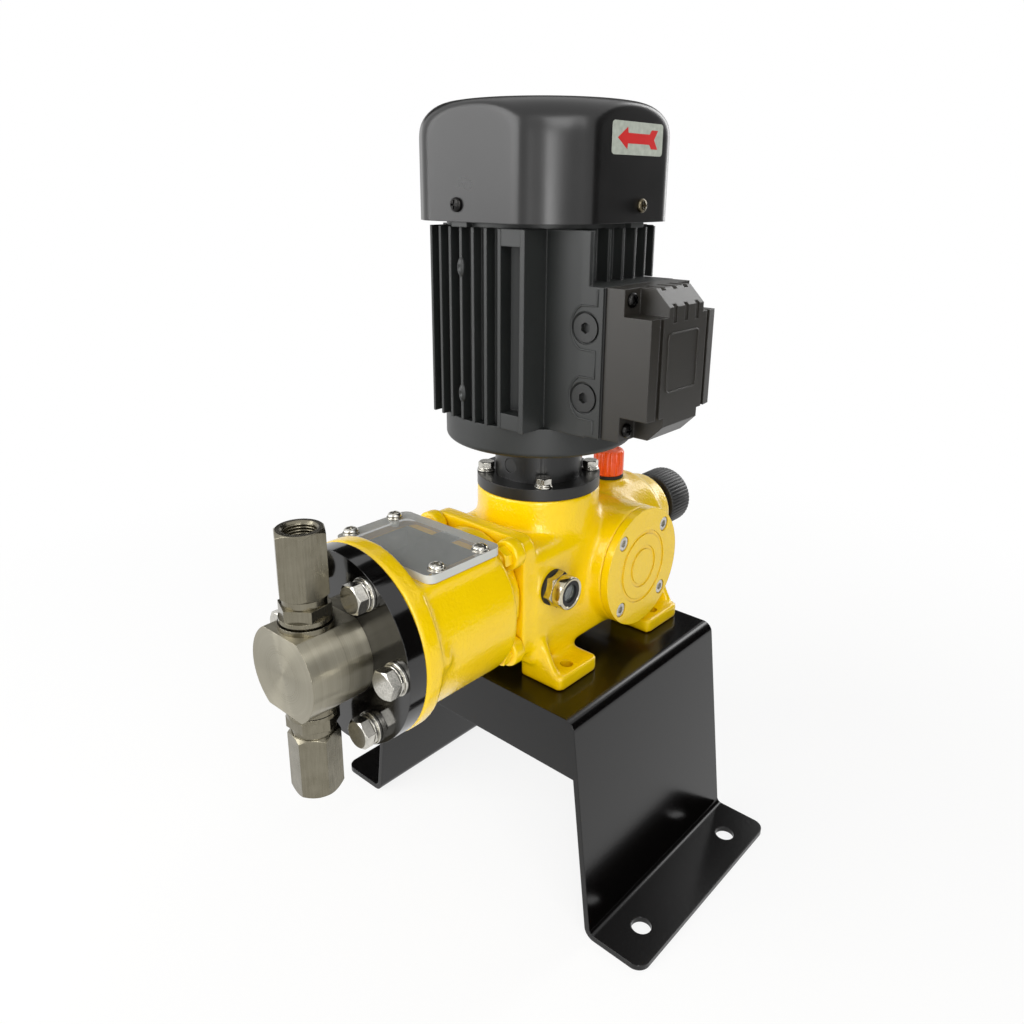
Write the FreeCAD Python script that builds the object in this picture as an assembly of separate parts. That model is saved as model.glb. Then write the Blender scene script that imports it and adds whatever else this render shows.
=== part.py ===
import FreeCAD, Part
import math
import os

# A plunger metering pump on a bent-sheet stand, in millimetres.
# +Z is up, the plunger runs along X with the pump head towards -X, and -Y is the terminal box side.
# The origin is on the floor, at the centre of the four holes in the stand's feet.

# Stand: one bent steel sheet
SHEET = 4.0
STAND_LENGTH = 177.0
STAND_HEIGHT = 162.0
STAND_TOP_WIDTH = 184.0
STAND_BEND_WIDTH = 222.8
STAND_WIDTH = 307.2
SKIRT_DEPTH = 42.6
BEND_RADIUS = 8.0
FOOT_CORNER_RADIUS = 9.0
FOOT_HOLE_RADIUS = 7.0
FOOT_HOLE_PITCH_X = 117.8
FOOT_HOLE_EDGE_Y = 19.8

# The axes that the pump is built on: the plunger's height above the stand, the motor's place over the
# stand, and the worm wheel's place behind and below them
PLUNGER_RISE = 66.0
MOTOR_X = -16.9
WHEEL_SPACING = 46.8
WHEEL_DROP = 6.0

# Gearbox casting
GEARBOX_FRONT_X = -82.6
GEARBOX_FLANGE_SIZE = 88.0
GEARBOX_FLANGE_THICKNESS = 12.0
GEARBOX_HALF_WIDTH = 45.5
GEARBOX_BELOW = 52.0
GEARBOX_ABOVE = 34.0
GEARBOX_WALL = 8.5
NECK_RADIUS = 44.0
NECK_HEIGHT = 24.4
NECK_BORE_RADIUS = 30.0
BARREL_RADIUS = 44.7
BARREL_HALF_LENGTH = 56.8
BARREL_WALL = 6.0
REAR_RADIUS = 39.0
REAR_END_RADIUS = 29.0
REAR_SHOULDER_REACH = 62.1
REAR_NOSE_LENGTH = 29.4
REAR_WALL = 8.0
PAD_STEP = 2.0
FOOT_THICKNESS = 10.6
FOOT_INNER_Y = 29.0
FOOT_OUTER_Y = 64.5
FOOT_LENGTH = 43.0
LEG_WIDTH = 26.0
GUSSET_THICKNESS = 6.0
GUSSET_HEIGHT = 30.0
FRONT_LEG_HEIGHT = 20.0
REAR_LEG_HEIGHT = 30.0
MOUNT_HOLE_RADIUS = 4.5
MOUNT_HOLE_Y = 54.9
MOUNT_HOLE_INSET = 19.0
FRONT_MOUNT_X = -49.0
REAR_MOUNT_X = 58.4

# Side covers of the worm wheel's barrel
COVER_THICKNESS = 6.0
COVER_HUB_WALL = 5.0
COVER_RING_HEIGHT = 0.8
COVER_SCREW_PCD = 73.6
COVER_SCREW_RADIUS = 3.0
COVER_HEAD_RADIUS = 5.0
COVER_HEAD_HEIGHT = 3.6

# Oil sight glass
SIGHT_INSET = 28.0
SIGHT_RISE = 2.5
SIGHT_STEM_RADIUS = 8.0
SIGHT_SEAL_RADIUS = 12.5
SIGHT_SEAL_THICKNESS = 2.0
SIGHT_HEX = 22.0
SIGHT_HEX_LENGTH = 6.0
SIGHT_RIM_RADIUS = 11.6
SIGHT_RIM_LENGTH = 8.0
SIGHT_BORE_RADIUS = 9.0
SIGHT_WINDOW_RADIUS = 6.4

# Filler cap
CAP_BEHIND_WHEEL = 40.5
CAP_RADIUS = 12.0
CAP_HEIGHT = 20.5
CAP_FLUTES = 16
CAP_SEAL_THICKNESS = 2.5
CAP_STEM_RADIUS = 8.9
CAP_STEM_LENGTH = 9.0
CAP_BOSS_RADIUS = 14.5
CAP_BOSS_RISE = 40.0

# Stroke adjustment
KNOB_STANDOFF = 13.0
KNOB_LENGTH = 28.0
KNOB_RADIUS = 24.5
KNOB_FLUTES = 24
KNOB_WALL = 5.0
BUSH_RADIUS = 14.0
BUSH_NECK_RADIUS = 16.0
BUSH_FLANGE_RADIUS = 20.0
BUSH_FLANGE_THICKNESS = 5.0
SPINDLE_RADIUS = 8.0
SPINDLE_HEX = 14.0
STROKE = 12.0

# Worm drive
GEAR_MODULE = 2.0
WHEEL_TEETH = 28
WHEEL_WIDTH = 14.0
TOOTH_CLEARANCE = 0.2
FLANK_ANGLE = 20.0
WORM_LENGTH = 40.0
SHAFT_RADIUS = 7.0
WHEEL_SHAFT_RADIUS = 10.0
WHEEL_SHAFT_HALF_LENGTH = 53.0
ECCENTRIC_RADIUS = 16.0
ECCENTRIC_WIDTH = 9.0
BEARING_RADIUS = 21.0
BEARING_WIDTH = 12.0
RUNNING_FIT = 0.05
CLEARANCE = 0.3

# Yoke and push rod
YOKE_ARM = 6.0
YOKE_WORM_GAP = 0.7
YOKE_BAR = 6.0
YOKE_REAR_REACH = 36.1
YOKE_FRONT_BELOW = 16.0
YOKE_FRONT_ABOVE = 18.0
YOKE_REAR_BELOW = 5.0
YOKE_REAR_ABOVE = 16.0
YOKE_BRIDGE_BELOW = 15.0
YOKE_BRIDGE_ABOVE = 12.0
YOKE_FRONT_LENGTH = 14.0
YOKE_PAD_HALF_HEIGHT = 10.0
YOKE_PAD_THICKNESS = 3.0
ROD_RADIUS = 12.0
ROD_THREAD_RADIUS = 8.0
ROD_BUSH_RADIUS = 16.0
ROD_BUSH_LENGTH = 15.0
ROD_SEAL_RADIUS = 20.0
ROD_SEAL_WIDTH = 6.6
SHAFT_SEAL_WIDTH = 8.0
SPRING_RADIUS = 21.0
SPRING_WIRE = 3.0
SPRING_TURNS = 4

# Lantern casting and its window
LANTERN_LENGTH = 102.0
LANTERN_RIM_RADIUS = 61.5
LANTERN_RIM_THICKNESS = 13.0
LANTERN_RADIUS = 56.0
LANTERN_BORE_RADIUS = 44.0
LANTERN_NECK_LENGTH = 18.4
LANTERN_REAR_FLANGE = 10.0
LANTERN_NECK_RADIUS = 42.0
LUG_RADIUS = 10.5
LUG_Y = 36.0
LUG_Z = 35.0
STUD_RADIUS = 4.0
NUT_FLATS = 13.0
NUT_THICKNESS = 6.5
WINDOW_INSET = 19.0
WINDOW_LENGTH = 61.0
WINDOW_WIDTH = 89.0
WINDOW_THICKNESS = 5.4
WINDOW_SEAT_RISE = 43.2
WINDOW_CORNER_RADIUS = 6.0
WINDOW_SCREW_PITCH_X = 36.5
WINDOW_SCREW_PITCH_Y = 79.0
WINDOW_SCREW_INSET = 28.2
WINDOW_OPENING_LENGTH = 47.0
WINDOW_OPENING_WIDTH = 66.0
SCREW_RADIUS = 2.4
SCREW_HEAD_RADIUS = 4.8
SCREW_HEAD_HEIGHT = 3.2
SCREW_WASHER_RADIUS = 5.6
SCREW_WASHER_THICKNESS = 1.0

# Pump flange and its six bolts
PUMP_FLANGE_THICKNESS = 12.0
PUMP_FLANGE_RADIUS = 61.0
PUMP_BOLT_PCD = 100.0
PUMP_BOLT_COUNT = 6
PUMP_BOLT_RADIUS = 4.9
PUMP_BOLT_FLATS = 16.5
PUMP_BOLT_HEAD = 6.6
PUMP_WASHER_RADIUS = 10.0
PUMP_WASHER_THICKNESS = 2.0
SPRING_WASHER_RADIUS = 9.0
SPRING_WASHER_THICKNESS = 2.4

# Pump head, plunger and gland
HEAD_LENGTH = 41.0
HEAD_RADIUS = 29.3
HEAD_FLAT = 24.75
TAIL_RADIUS = 22.0
TAIL_LENGTH = 34.6
PLUNGER_RADIUS = 8.0
PLUNGER_TIP_GAP = 7.6
CHAMBER_RADIUS = 8.8
CHAMBER_REACH = 8.4
STUFFING_RADIUS = 14.0
STUFFING_INSET = 4.6
PACKING_WIDTH = 7.0
PACKING_COUNT = 4
GLAND_NUT_RADIUS = 27.0
GLAND_NUT_WALL = 4.0
GLAND_NUT_LENGTH = 22.0
COUPLING_FLATS = 32.0
COUPLING_LENGTH = 20.0
COUPLING_WALL = 4.0
BUTTON_RADIUS = 10.0
BUTTON_THICKNESS = 4.0
ROD_REACH = 35.4

# Check valves, measured outwards from the plunger's axis
VALVE_INSET = 23.0
VALVE_STUB_RADIUS = 16.0
VALVE_STUB_END = 31.8
VALVE_HEX = 27.0
ADAPTER_HEX_END = 39.0
VALVE_COLLAR_RADIUS = 12.6
VALVE_COLLAR_END = 43.5
VALVE_END = 83.3
VALVE_CHAMFER = 2.2
VALVE_THREAD_RADIUS = 12.0
ADAPTER_THREAD_START = 14.0
VALVE_PASSAGE_RADIUS = 5.0
VALVE_CHAMBER_RADIUS = 8.5
VALVE_CHAMBER_START = 44.5
VALVE_CHAMBER_END = 62.0
SEAT_THICKNESS = 4.0
PORT_RADIUS = 9.3
PORT_DEPTH = 20.0
PORT_CHAMFER = 1.2
BALL_RADIUS = 6.5

# Motor adapter flange
ADAPTER_RADIUS = 44.0
ADAPTER_THICKNESS = 8.2
ADAPTER_NECK_RADIUS = 31.0
ADAPTER_SPIGOT_DEPTH = 6.0
ADAPTER_BORE_RADIUS = 20.0
ADAPTER_BOLT_PCD = 75.0
ADAPTER_BOLT_RADIUS = 3.0
ADAPTER_BOLT_FLATS = 10.0
ADAPTER_BOLT_HEAD = 4.2
ADAPTER_WASHER_RADIUS = 6.2
ADAPTER_WASHER_THICKNESS = 1.6
ADAPTER_BOLT_DEPTH = 12.0
ADAPTER_NECK_HEIGHT = 28.4
NECK_PLUG_RISE = 10.4
NECK_PLUG_RADIUS = 5.0
NECK_PLUG_DEPTH = 7.0

# Motor
BELL_HEIGHT = 20.0
BELL_RADIUS = 65.3
BELL_WALL = 8.0
FRAME_HEIGHT = 122.0
FRAME_CORE_RADIUS = 59.0
FRAME_BORE_RADIUS = 54.0
BOX_NEAR_REACH = 45.7
FIN_REACH = 66.0
FIN_CROWN = 5.6
FIN_CROWN_AT = 44.0
FIN_THICKNESS = 2.2
FIN_PITCH = 10.5
FIN_COUNT = 7
FIN_FIRST_Y = -20.5
SIDE_FIN_PITCH = 13.6
SIDE_FIN_FIRST = -28.7
RAIL_Y = -41.5
RAIL_THICKNESS = 3.5
FOOT_PAD_LENGTH = 10.0
CORNER_COLUMN_Y = -73.6
CORNER_COLUMN_THICKNESS = 3.5
UPPER_BELL_HEIGHT = 8.0
COWL_GAP = 3.0
COWL_HEIGHT = 70.0
COWL_RADIUS = 80.5
COWL_PANEL_REACH = 69.5
COWL_PANEL_HALF_WIDTH = 44.7
COWL_VALLEY_REACH = 63.9
COWL_SHEET = 1.6
COWL_SHOULDER_RADIUS = 22.0
COWL_EDGE_RADIUS = 4.5
COWL_COLUMN_BULGE = 0.5
COWL_SCREW_RISE = 10.0
COWL_SCREW_OFFSET = 9.8
COWL_SCREW_RADIUS = 2.0
COWL_SCREW_LENGTH = 7.5
COWL_LUG_WIDTH = 13.0
GRILLE_RINGS = 4
GRILLE_SLOTS = 6
GRILLE_SLOT_WIDTH = 4.5
GRILLE_RING_PITCH = 11.0
GRILLE_FIRST_RADIUS = 18.0
FAN_RADIUS = 58.0
FAN_BLADES = 8
FAN_HUB_RADIUS = 14.0
FAN_RISE = 13.0
FAN_HEIGHT = 26.0
ROTOR_RADIUS = 32.4
STATOR_BORE_RADIUS = 33.0
STATOR_RISE = 23.0
STATOR_LENGTH = 72.0
WINDING_HEIGHT = 14.0
ROTOR_SHAFT_RADIUS = 9.0
FAN_SHAFT_RADIUS = 8.0
MOTOR_BEARING_RADIUS = 17.5
MOTOR_BEARING_WIDTH = 11.0

# Terminal box
BOX_RISE = 1.0
BOX_HEIGHT = 90.0
BOX_FACE_Y = -84.0
BOX_ROOT_Y = -30.0
BOX_FAR_REACH = 28.3
BOX_WALL = 5.0
LID_DEPTH = 33.2
LID_INSET = 2.0
LID_CHAMFER = 10.0
LID_CROWN = 1.2
LID_LEDGE = 12.5
LID_SEAL_THICKNESS = 0.8
LID_POCKET_X = 16.0
LID_POCKET_Z = 15.5
LID_SCREW_INSET_X = 7.0
LID_SCREW_INSET_Z = 6.5
LID_RIB_WIDTH = 7.6
LID_RIB_PITCH = 12.2
LID_RIB_RISE = 1.6
PLUG_Y = -71.8
PLUG_LOW_RISE = 23.5
PLUG_PITCH = 42.2
PLUG_RADIUS = 7.6
PLUG_HEAD_RADIUS = 8.6
PLUG_RECESS_GAP = 1.2
PLUG_HEAD_THICKNESS = 1.6

# Places that follow from the sizes above
PLUNGER_Z = STAND_HEIGHT + PLUNGER_RISE
WHEEL_X = MOTOR_X + WHEEL_SPACING
WHEEL_Z = PLUNGER_Z - WHEEL_DROP
WORM_CENTRE_Z = WHEEL_Z
GEARBOX_BOTTOM_Z = PLUNGER_Z - GEARBOX_BELOW
GEARBOX_TOP_Z = PLUNGER_Z + GEARBOX_ABOVE
NECK_TOP_Z = GEARBOX_TOP_Z + NECK_HEIGHT
REAR_SHOULDER_X = WHEEL_X + REAR_SHOULDER_REACH
REAR_END_X = REAR_SHOULDER_X + REAR_NOSE_LENGTH
KNOB_FRONT_X = REAR_END_X + KNOB_STANDOFF
FRONT_FOOT_X = FRONT_MOUNT_X - MOUNT_HOLE_INSET
REAR_FOOT_X = REAR_MOUNT_X - MOUNT_HOLE_INSET
SIGHT_X = GEARBOX_FRONT_X + SIGHT_INSET
SIGHT_Z = PLUNGER_Z + SIGHT_RISE
CAP_X = WHEEL_X + CAP_BEHIND_WHEEL
CAP_BOSS_TOP_Z = PLUNGER_Z + CAP_BOSS_RISE
YOKE_REAR_X = WHEEL_X + YOKE_REAR_REACH
LANTERN_FRONT_X = GEARBOX_FRONT_X - LANTERN_LENGTH
LANTERN_SHOULDER_X = GEARBOX_FRONT_X - LANTERN_NECK_LENGTH
WINDOW_FRONT_X = LANTERN_FRONT_X + WINDOW_INSET
WINDOW_SEAT_Z = PLUNGER_Z + WINDOW_SEAT_RISE
WINDOW_SCREW_X = WINDOW_FRONT_X + WINDOW_SCREW_INSET
TAIL_END_X = LANTERN_FRONT_X + TAIL_LENGTH
ROD_FRONT_X = GEARBOX_FRONT_X - ROD_REACH
GEARBOX_BODY_X = GEARBOX_FRONT_X + GEARBOX_FLANGE_THICKNESS
FLANGE_FACE_X = LANTERN_FRONT_X - PUMP_FLANGE_THICKNESS
VALVE_X = FLANGE_FACE_X - VALVE_INSET
PLUNGER_TIP_X = VALVE_X + PLUNGER_TIP_GAP
CHAMBER_FRONT_X = VALVE_X - CHAMBER_REACH
STUFFING_FRONT_X = FLANGE_FACE_X + STUFFING_INSET
HEAD_FRONT_X = FLANGE_FACE_X - HEAD_LENGTH
LANTERN_LUG_X = GEARBOX_FRONT_X - LANTERN_REAR_FLANGE
LANTERN_BORE_X = LANTERN_FRONT_X + LANTERN_RIM_THICKNESS + 5.6
COVER_FACE_Y = BARREL_HALF_LENGTH + COVER_THICKNESS
BARREL_BORE = BARREL_RADIUS - BARREL_WALL
BARREL_INNER_RIM = COVER_SCREW_PCD / 2 - COVER_SCREW_RADIUS - 3.0
INNER_LOW_Z = GEARBOX_BOTTOM_Z + GEARBOX_WALL
INNER_HIGH_Z = GEARBOX_TOP_Z - GEARBOX_WALL
INNER_HALF_WIDTH = GEARBOX_HALF_WIDTH - GEARBOX_WALL
INNER_FRONT_X = GEARBOX_FRONT_X + GEARBOX_WALL
REAR_BORE = REAR_RADIUS - REAR_WALL
REAR_BORE_END_X = REAR_SHOULDER_X + 6.0
ROD_GUIDE_END_X = GEARBOX_FRONT_X + ROD_SEAL_WIDTH + ROD_BUSH_LENGTH
YOKE_FRONT_X = ROD_GUIDE_END_X + 2.4
WHEEL_PITCH_RADIUS = GEAR_MODULE * WHEEL_TEETH / 2
WORM_PITCH_RADIUS = WHEEL_X - MOTOR_X - WHEEL_PITCH_RADIUS
YOKE_ARM_INNER_Y = WORM_PITCH_RADIUS + GEAR_MODULE + YOKE_WORM_GAP
YOKE_ARM_OUTER_Y = YOKE_ARM_INNER_Y + YOKE_ARM
WORM_LEAD = math.pi * GEAR_MODULE
ADAPTER_TOP_Z = NECK_TOP_Z + ADAPTER_THICKNESS
NECK_PLUG_Z = ADAPTER_TOP_Z + NECK_PLUG_RISE
NECK_PLUG_X = MOTOR_X - ADAPTER_NECK_RADIUS
BELL_Z = ADAPTER_TOP_Z + ADAPTER_NECK_HEIGHT
BELL_TOP_Z = BELL_Z + BELL_HEIGHT
FRAME_TOP_Z = BELL_TOP_Z + FRAME_HEIGHT
FRAME_FLAT_X = MOTOR_X - BOX_NEAR_REACH
BOX_FAR_X = MOTOR_X + BOX_FAR_REACH
BOX_LOW_Z = BELL_TOP_Z + BOX_RISE
BOX_HIGH_Z = BOX_LOW_Z + BOX_HEIGHT
LID_NEAR_X = FRAME_FLAT_X + LID_INSET
LID_FAR_X = BOX_FAR_X - LID_INSET
PLUG_LOW_Z = BOX_LOW_Z + PLUG_LOW_RISE
PLUG_HIGH_Z = PLUG_LOW_Z + PLUG_PITCH
STATOR_Z = BELL_TOP_Z + STATOR_RISE
FAN_Z = FRAME_TOP_Z + FAN_RISE
COWL_Z = FRAME_TOP_Z + COWL_GAP
COWL_TOP_Z = COWL_Z + COWL_HEIGHT
COWL_SCREW_Z = COWL_Z + COWL_SCREW_RISE
BOX_BACK_Y = -FRAME_CORE_RADIUS - 1.0
BELL_SEAT_Z = BELL_Z + 4.0
UPPER_SEAT_Z = FRAME_TOP_Z - 8.0
BEARING_OUTER_Y = WHEEL_SHAFT_HALF_LENGTH - 3.0
COVER_SIDES = (-1, 1)

X_AXIS = FreeCAD.Vector(1, 0, 0)
Y_AXIS = FreeCAD.Vector(0, 1, 0)
Z_AXIS = FreeCAD.Vector(0, 0, 1)


def point(x, y, z):
    return FreeCAD.Vector(x, y, z)


def block(x0, x1, y0, y1, z0, z1):
    corner = point(min(x0, x1), min(y0, y1), min(z0, z1))
    return Part.makeBox(abs(x1 - x0), abs(y1 - y0), abs(z1 - z0), corner)


def x_rod(x0, x1, radius, y=0.0, z=PLUNGER_Z):
    return Part.makeCylinder(radius, abs(x1 - x0), point(min(x0, x1), y, z), X_AXIS)


def y_rod(y0, y1, radius, x, z):
    return Part.makeCylinder(radius, abs(y1 - y0), point(x, min(y0, y1), z), Y_AXIS)


def z_rod(z0, z1, radius, x=MOTOR_X, y=0.0):
    return Part.makeCylinder(radius, abs(z1 - z0), point(x, y, min(z0, z1)), Z_AXIS)


def x_tube(x0, x1, outer, inner, y=0.0, z=PLUNGER_Z):
    return x_rod(x0, x1, outer, y, z).cut(x_rod(x0, x1, inner, y, z))


def y_tube(y0, y1, outer, inner, x, z):
    return y_rod(y0, y1, outer, x, z).cut(y_rod(y0, y1, inner, x, z))


def z_tube(z0, z1, outer, inner, x=MOTOR_X, y=0.0):
    return z_rod(z0, z1, outer, x, y).cut(z_rod(z0, z1, inner, x, y))


def hexagon(start, along, flats, turn=0.0):
    """A hexagonal bar from start along a vector; turn rolls its corners about that vector."""
    forward = FreeCAD.Vector(along).normalize()
    across = Z_AXIS if abs(forward.z) < 0.9 else X_AXIS
    up = FreeCAD.Rotation(forward, turn).multVec(across)
    side = forward.cross(up)
    reach = flats / math.sqrt(3)
    corners = []
    for k in range(7):
        angle = math.radians(60 * k)
        corners.append(start + up * (reach * math.cos(angle)) + side * (reach * math.sin(angle)))
    return Part.Face(Part.makePolygon(corners)).extrude(along)


def outline(corners, place):
    """A closed wire through (a, b, radius) corners; place(a, b) puts a point of it in space."""
    marks = []
    count = len(corners)
    for i in range(count):
        a, b, radius = corners[i]
        before = corners[i - 1]
        after = corners[(i + 1) % count]
        back = FreeCAD.Vector(before[0] - a, before[1] - b, 0).normalize()
        ahead = FreeCAD.Vector(after[0] - a, after[1] - b, 0).normalize()
        here = FreeCAD.Vector(a, b, 0)
        if radius <= 0:
            marks.append((here, here, here))
            continue
        half = back.getAngle(ahead) / 2
        reach = radius / math.tan(half)
        middle = (back + ahead).normalize()
        crown = here + middle * (radius / math.sin(half) - radius)
        marks.append((here + back * reach, crown, here + ahead * reach))
    edges = []
    for i in range(count):
        start, crown, end = marks[i]
        following = marks[(i + 1) % count][0]
        if (end - start).Length > 1e-6:
            arc = Part.Arc(place(start.x, start.y), place(crown.x, crown.y), place(end.x, end.y))
            edges.append(arc.toShape())
        if (following - end).Length > 1e-6:
            edges.append(Part.LineSegment(place(end.x, end.y), place(following.x, following.y)).toShape())
    return Part.Wire(edges)


def prism(corners, place, along):
    return Part.Face(outline(corners, place)).extrude(along)


def rectangle(a0, a1, b0, b1, radius):
    return [(a0, b0, radius), (a1, b0, radius), (a1, b1, radius), (a0, b1, radius)]


def turned(profile, place, centre, axis):
    """A solid of revolution from an outline of (along, out, radius) corners."""
    return Part.Face(outline(profile, place)).revolve(centre, axis, 360)


def mirrored_y(shape):
    return shape.mirror(point(0, 0, 0), Y_AXIS)


def joined(shapes):
    return shapes[0].fuse(shapes[1:]).removeSplitter()


def around(centre, radius, count, first=0.0):
    """Points (a, b) evenly round a circle, from an angle in degrees."""
    places = []
    for k in range(count):
        angle = math.radians(first + 360.0 * k / count)
        places.append((centre[0] + radius * math.cos(angle), centre[1] + radius * math.sin(angle)))
    return places


def save(name, *shapes):
    """Writes one sub-part; a group of like pieces is a compound of separate solids."""
    solids = []
    for shape in shapes:
        solids.extend(shape.Solids)
    result = solids[0] if len(solids) == 1 else Part.makeCompound(solids)
    result.exportStep("parts/" + name + ".step")


# Stand

def make_stand():
    half = STAND_LENGTH / 2
    lean = math.atan((STAND_BEND_WIDTH - STAND_TOP_WIDTH) / 2 / (STAND_HEIGHT - SHEET))
    slope = math.tan(lean)
    skin = SHEET / math.cos(lean)

    def outer_y(z):
        return STAND_TOP_WIDTH / 2 + (STAND_HEIGHT - z) * slope

    inner_bend = BEND_RADIUS - SHEET
    right = [
        (STAND_WIDTH / 2, 0.0, 0.0),
        (STAND_WIDTH / 2, SHEET, 0.0),
        (outer_y(SHEET), SHEET, inner_bend),
        (outer_y(STAND_HEIGHT), STAND_HEIGHT, BEND_RADIUS),
    ]
    inside = [
        (outer_y(STAND_HEIGHT - SHEET) - skin, STAND_HEIGHT - SHEET, inner_bend),
        (outer_y(0.0) - skin, 0.0, BEND_RADIUS),
    ]
    profile = list(right)
    profile += [(-a, b, r) for a, b, r in reversed(right)]
    profile += [(-a, b, r) for a, b, r in reversed(inside)]
    profile += inside
    sheet = prism(profile, lambda a, b: point(-half, a, b), X_AXIS * STAND_LENGTH)
    corners = []
    for edge in sheet.Edges:
        box = edge.BoundBox
        if box.XLength < 0.01 and box.YLength < 0.01 and abs(abs(box.YMin) - STAND_WIDTH / 2) < 0.01:
            corners.append(edge)
    sheet = sheet.makeFillet(FOOT_CORNER_RADIUS, corners)
    skirt_low = STAND_HEIGHT - SKIRT_DEPTH
    skirt_top = STAND_HEIGHT - SHEET / 2
    low_y = outer_y(skirt_low) - skin / 2
    high_y = outer_y(skirt_top) - skin
    skirt = prism(
        [(-high_y, skirt_top, 0), (high_y, skirt_top, 0), (low_y, skirt_low, 0), (-low_y, skirt_low, 0)],
        lambda a, b: point(-half, a, b), X_AXIS * SHEET)
    stand = joined([sheet, skirt])
    holes = []
    for x in (-FOOT_HOLE_PITCH_X / 2, FOOT_HOLE_PITCH_X / 2):
        for y in (FOOT_HOLE_EDGE_Y - STAND_WIDTH / 2, STAND_WIDTH / 2 - FOOT_HOLE_EDGE_Y):
            holes.append(z_rod(-1, SHEET + 1, FOOT_HOLE_RADIUS, x, y))
    for x in (FRONT_MOUNT_X, REAR_MOUNT_X):
        for y in (-MOUNT_HOLE_Y, MOUNT_HOLE_Y):
            holes.append(z_rod(STAND_HEIGHT - SHEET - 1, STAND_HEIGHT + 1, MOUNT_HOLE_RADIUS, x, y))
    save("stand", stand.cut(holes))


# Gearbox casting: front flange, box, motor neck, wheel barrel, rear boss and four feet

def rear_boss(radius, end_radius, start_x, shoulder_x, end_x):
    """A boss about the plunger's axis that rounds over from its full radius to its end face."""
    drop = radius - end_radius
    profile = [
        (start_x, 0.0, 0.0),
        (start_x, radius, 0.0),
        (shoulder_x + drop, radius, drop * 0.9),
        (end_x, end_radius, 4.0),
        (end_x, 0.0, 0.0),
    ]
    return turned(profile, lambda a, b: point(a, 0, PLUNGER_Z + b), point(0, 0, PLUNGER_Z), X_AXIS)


def gearbox_foot(x0, hole_x, gusset_x, body_z):
    """One foot on the +Y side: plate, leg up to the casting, and a gusset that braces the plate."""
    x1 = x0 + FOOT_LENGTH
    top = STAND_HEIGHT + FOOT_THICKNESS
    plate = prism(
        [(x0, FOOT_INNER_Y, 0), (x1, FOOT_INNER_Y, 0), (x1, FOOT_OUTER_Y, 5.0), (x0, FOOT_OUTER_Y, 5.0)],
        lambda a, b: point(a, b, STAND_HEIGHT), Z_AXIS * FOOT_THICKNESS)
    leg_x = x1 - LEG_WIDTH if gusset_x == x0 else x0
    leg_side = GEARBOX_HALF_WIDTH - PAD_STEP
    leg = block(leg_x, leg_x + LEG_WIDTH, FOOT_INNER_Y, leg_side, STAND_HEIGHT, body_z)
    brace_foot = FOOT_OUTER_Y - 5.0
    thickness = GUSSET_THICKNESS if gusset_x == x0 else -GUSSET_THICKNESS
    brace = prism(
        [(FOOT_INNER_Y, STAND_HEIGHT, 0), (brace_foot, STAND_HEIGHT, 0), (brace_foot, top, 0),
         (leg_side, top + GUSSET_HEIGHT, 0), (FOOT_INNER_Y, top + GUSSET_HEIGHT, 0)],
        lambda a, b: point(gusset_x, a, b), X_AXIS * thickness)
    hole = z_rod(STAND_HEIGHT - 1, top + 1, MOUNT_HOLE_RADIUS, hole_x, MOUNT_HOLE_Y)
    return joined([plate, leg, brace]).cut(hole)


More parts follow.
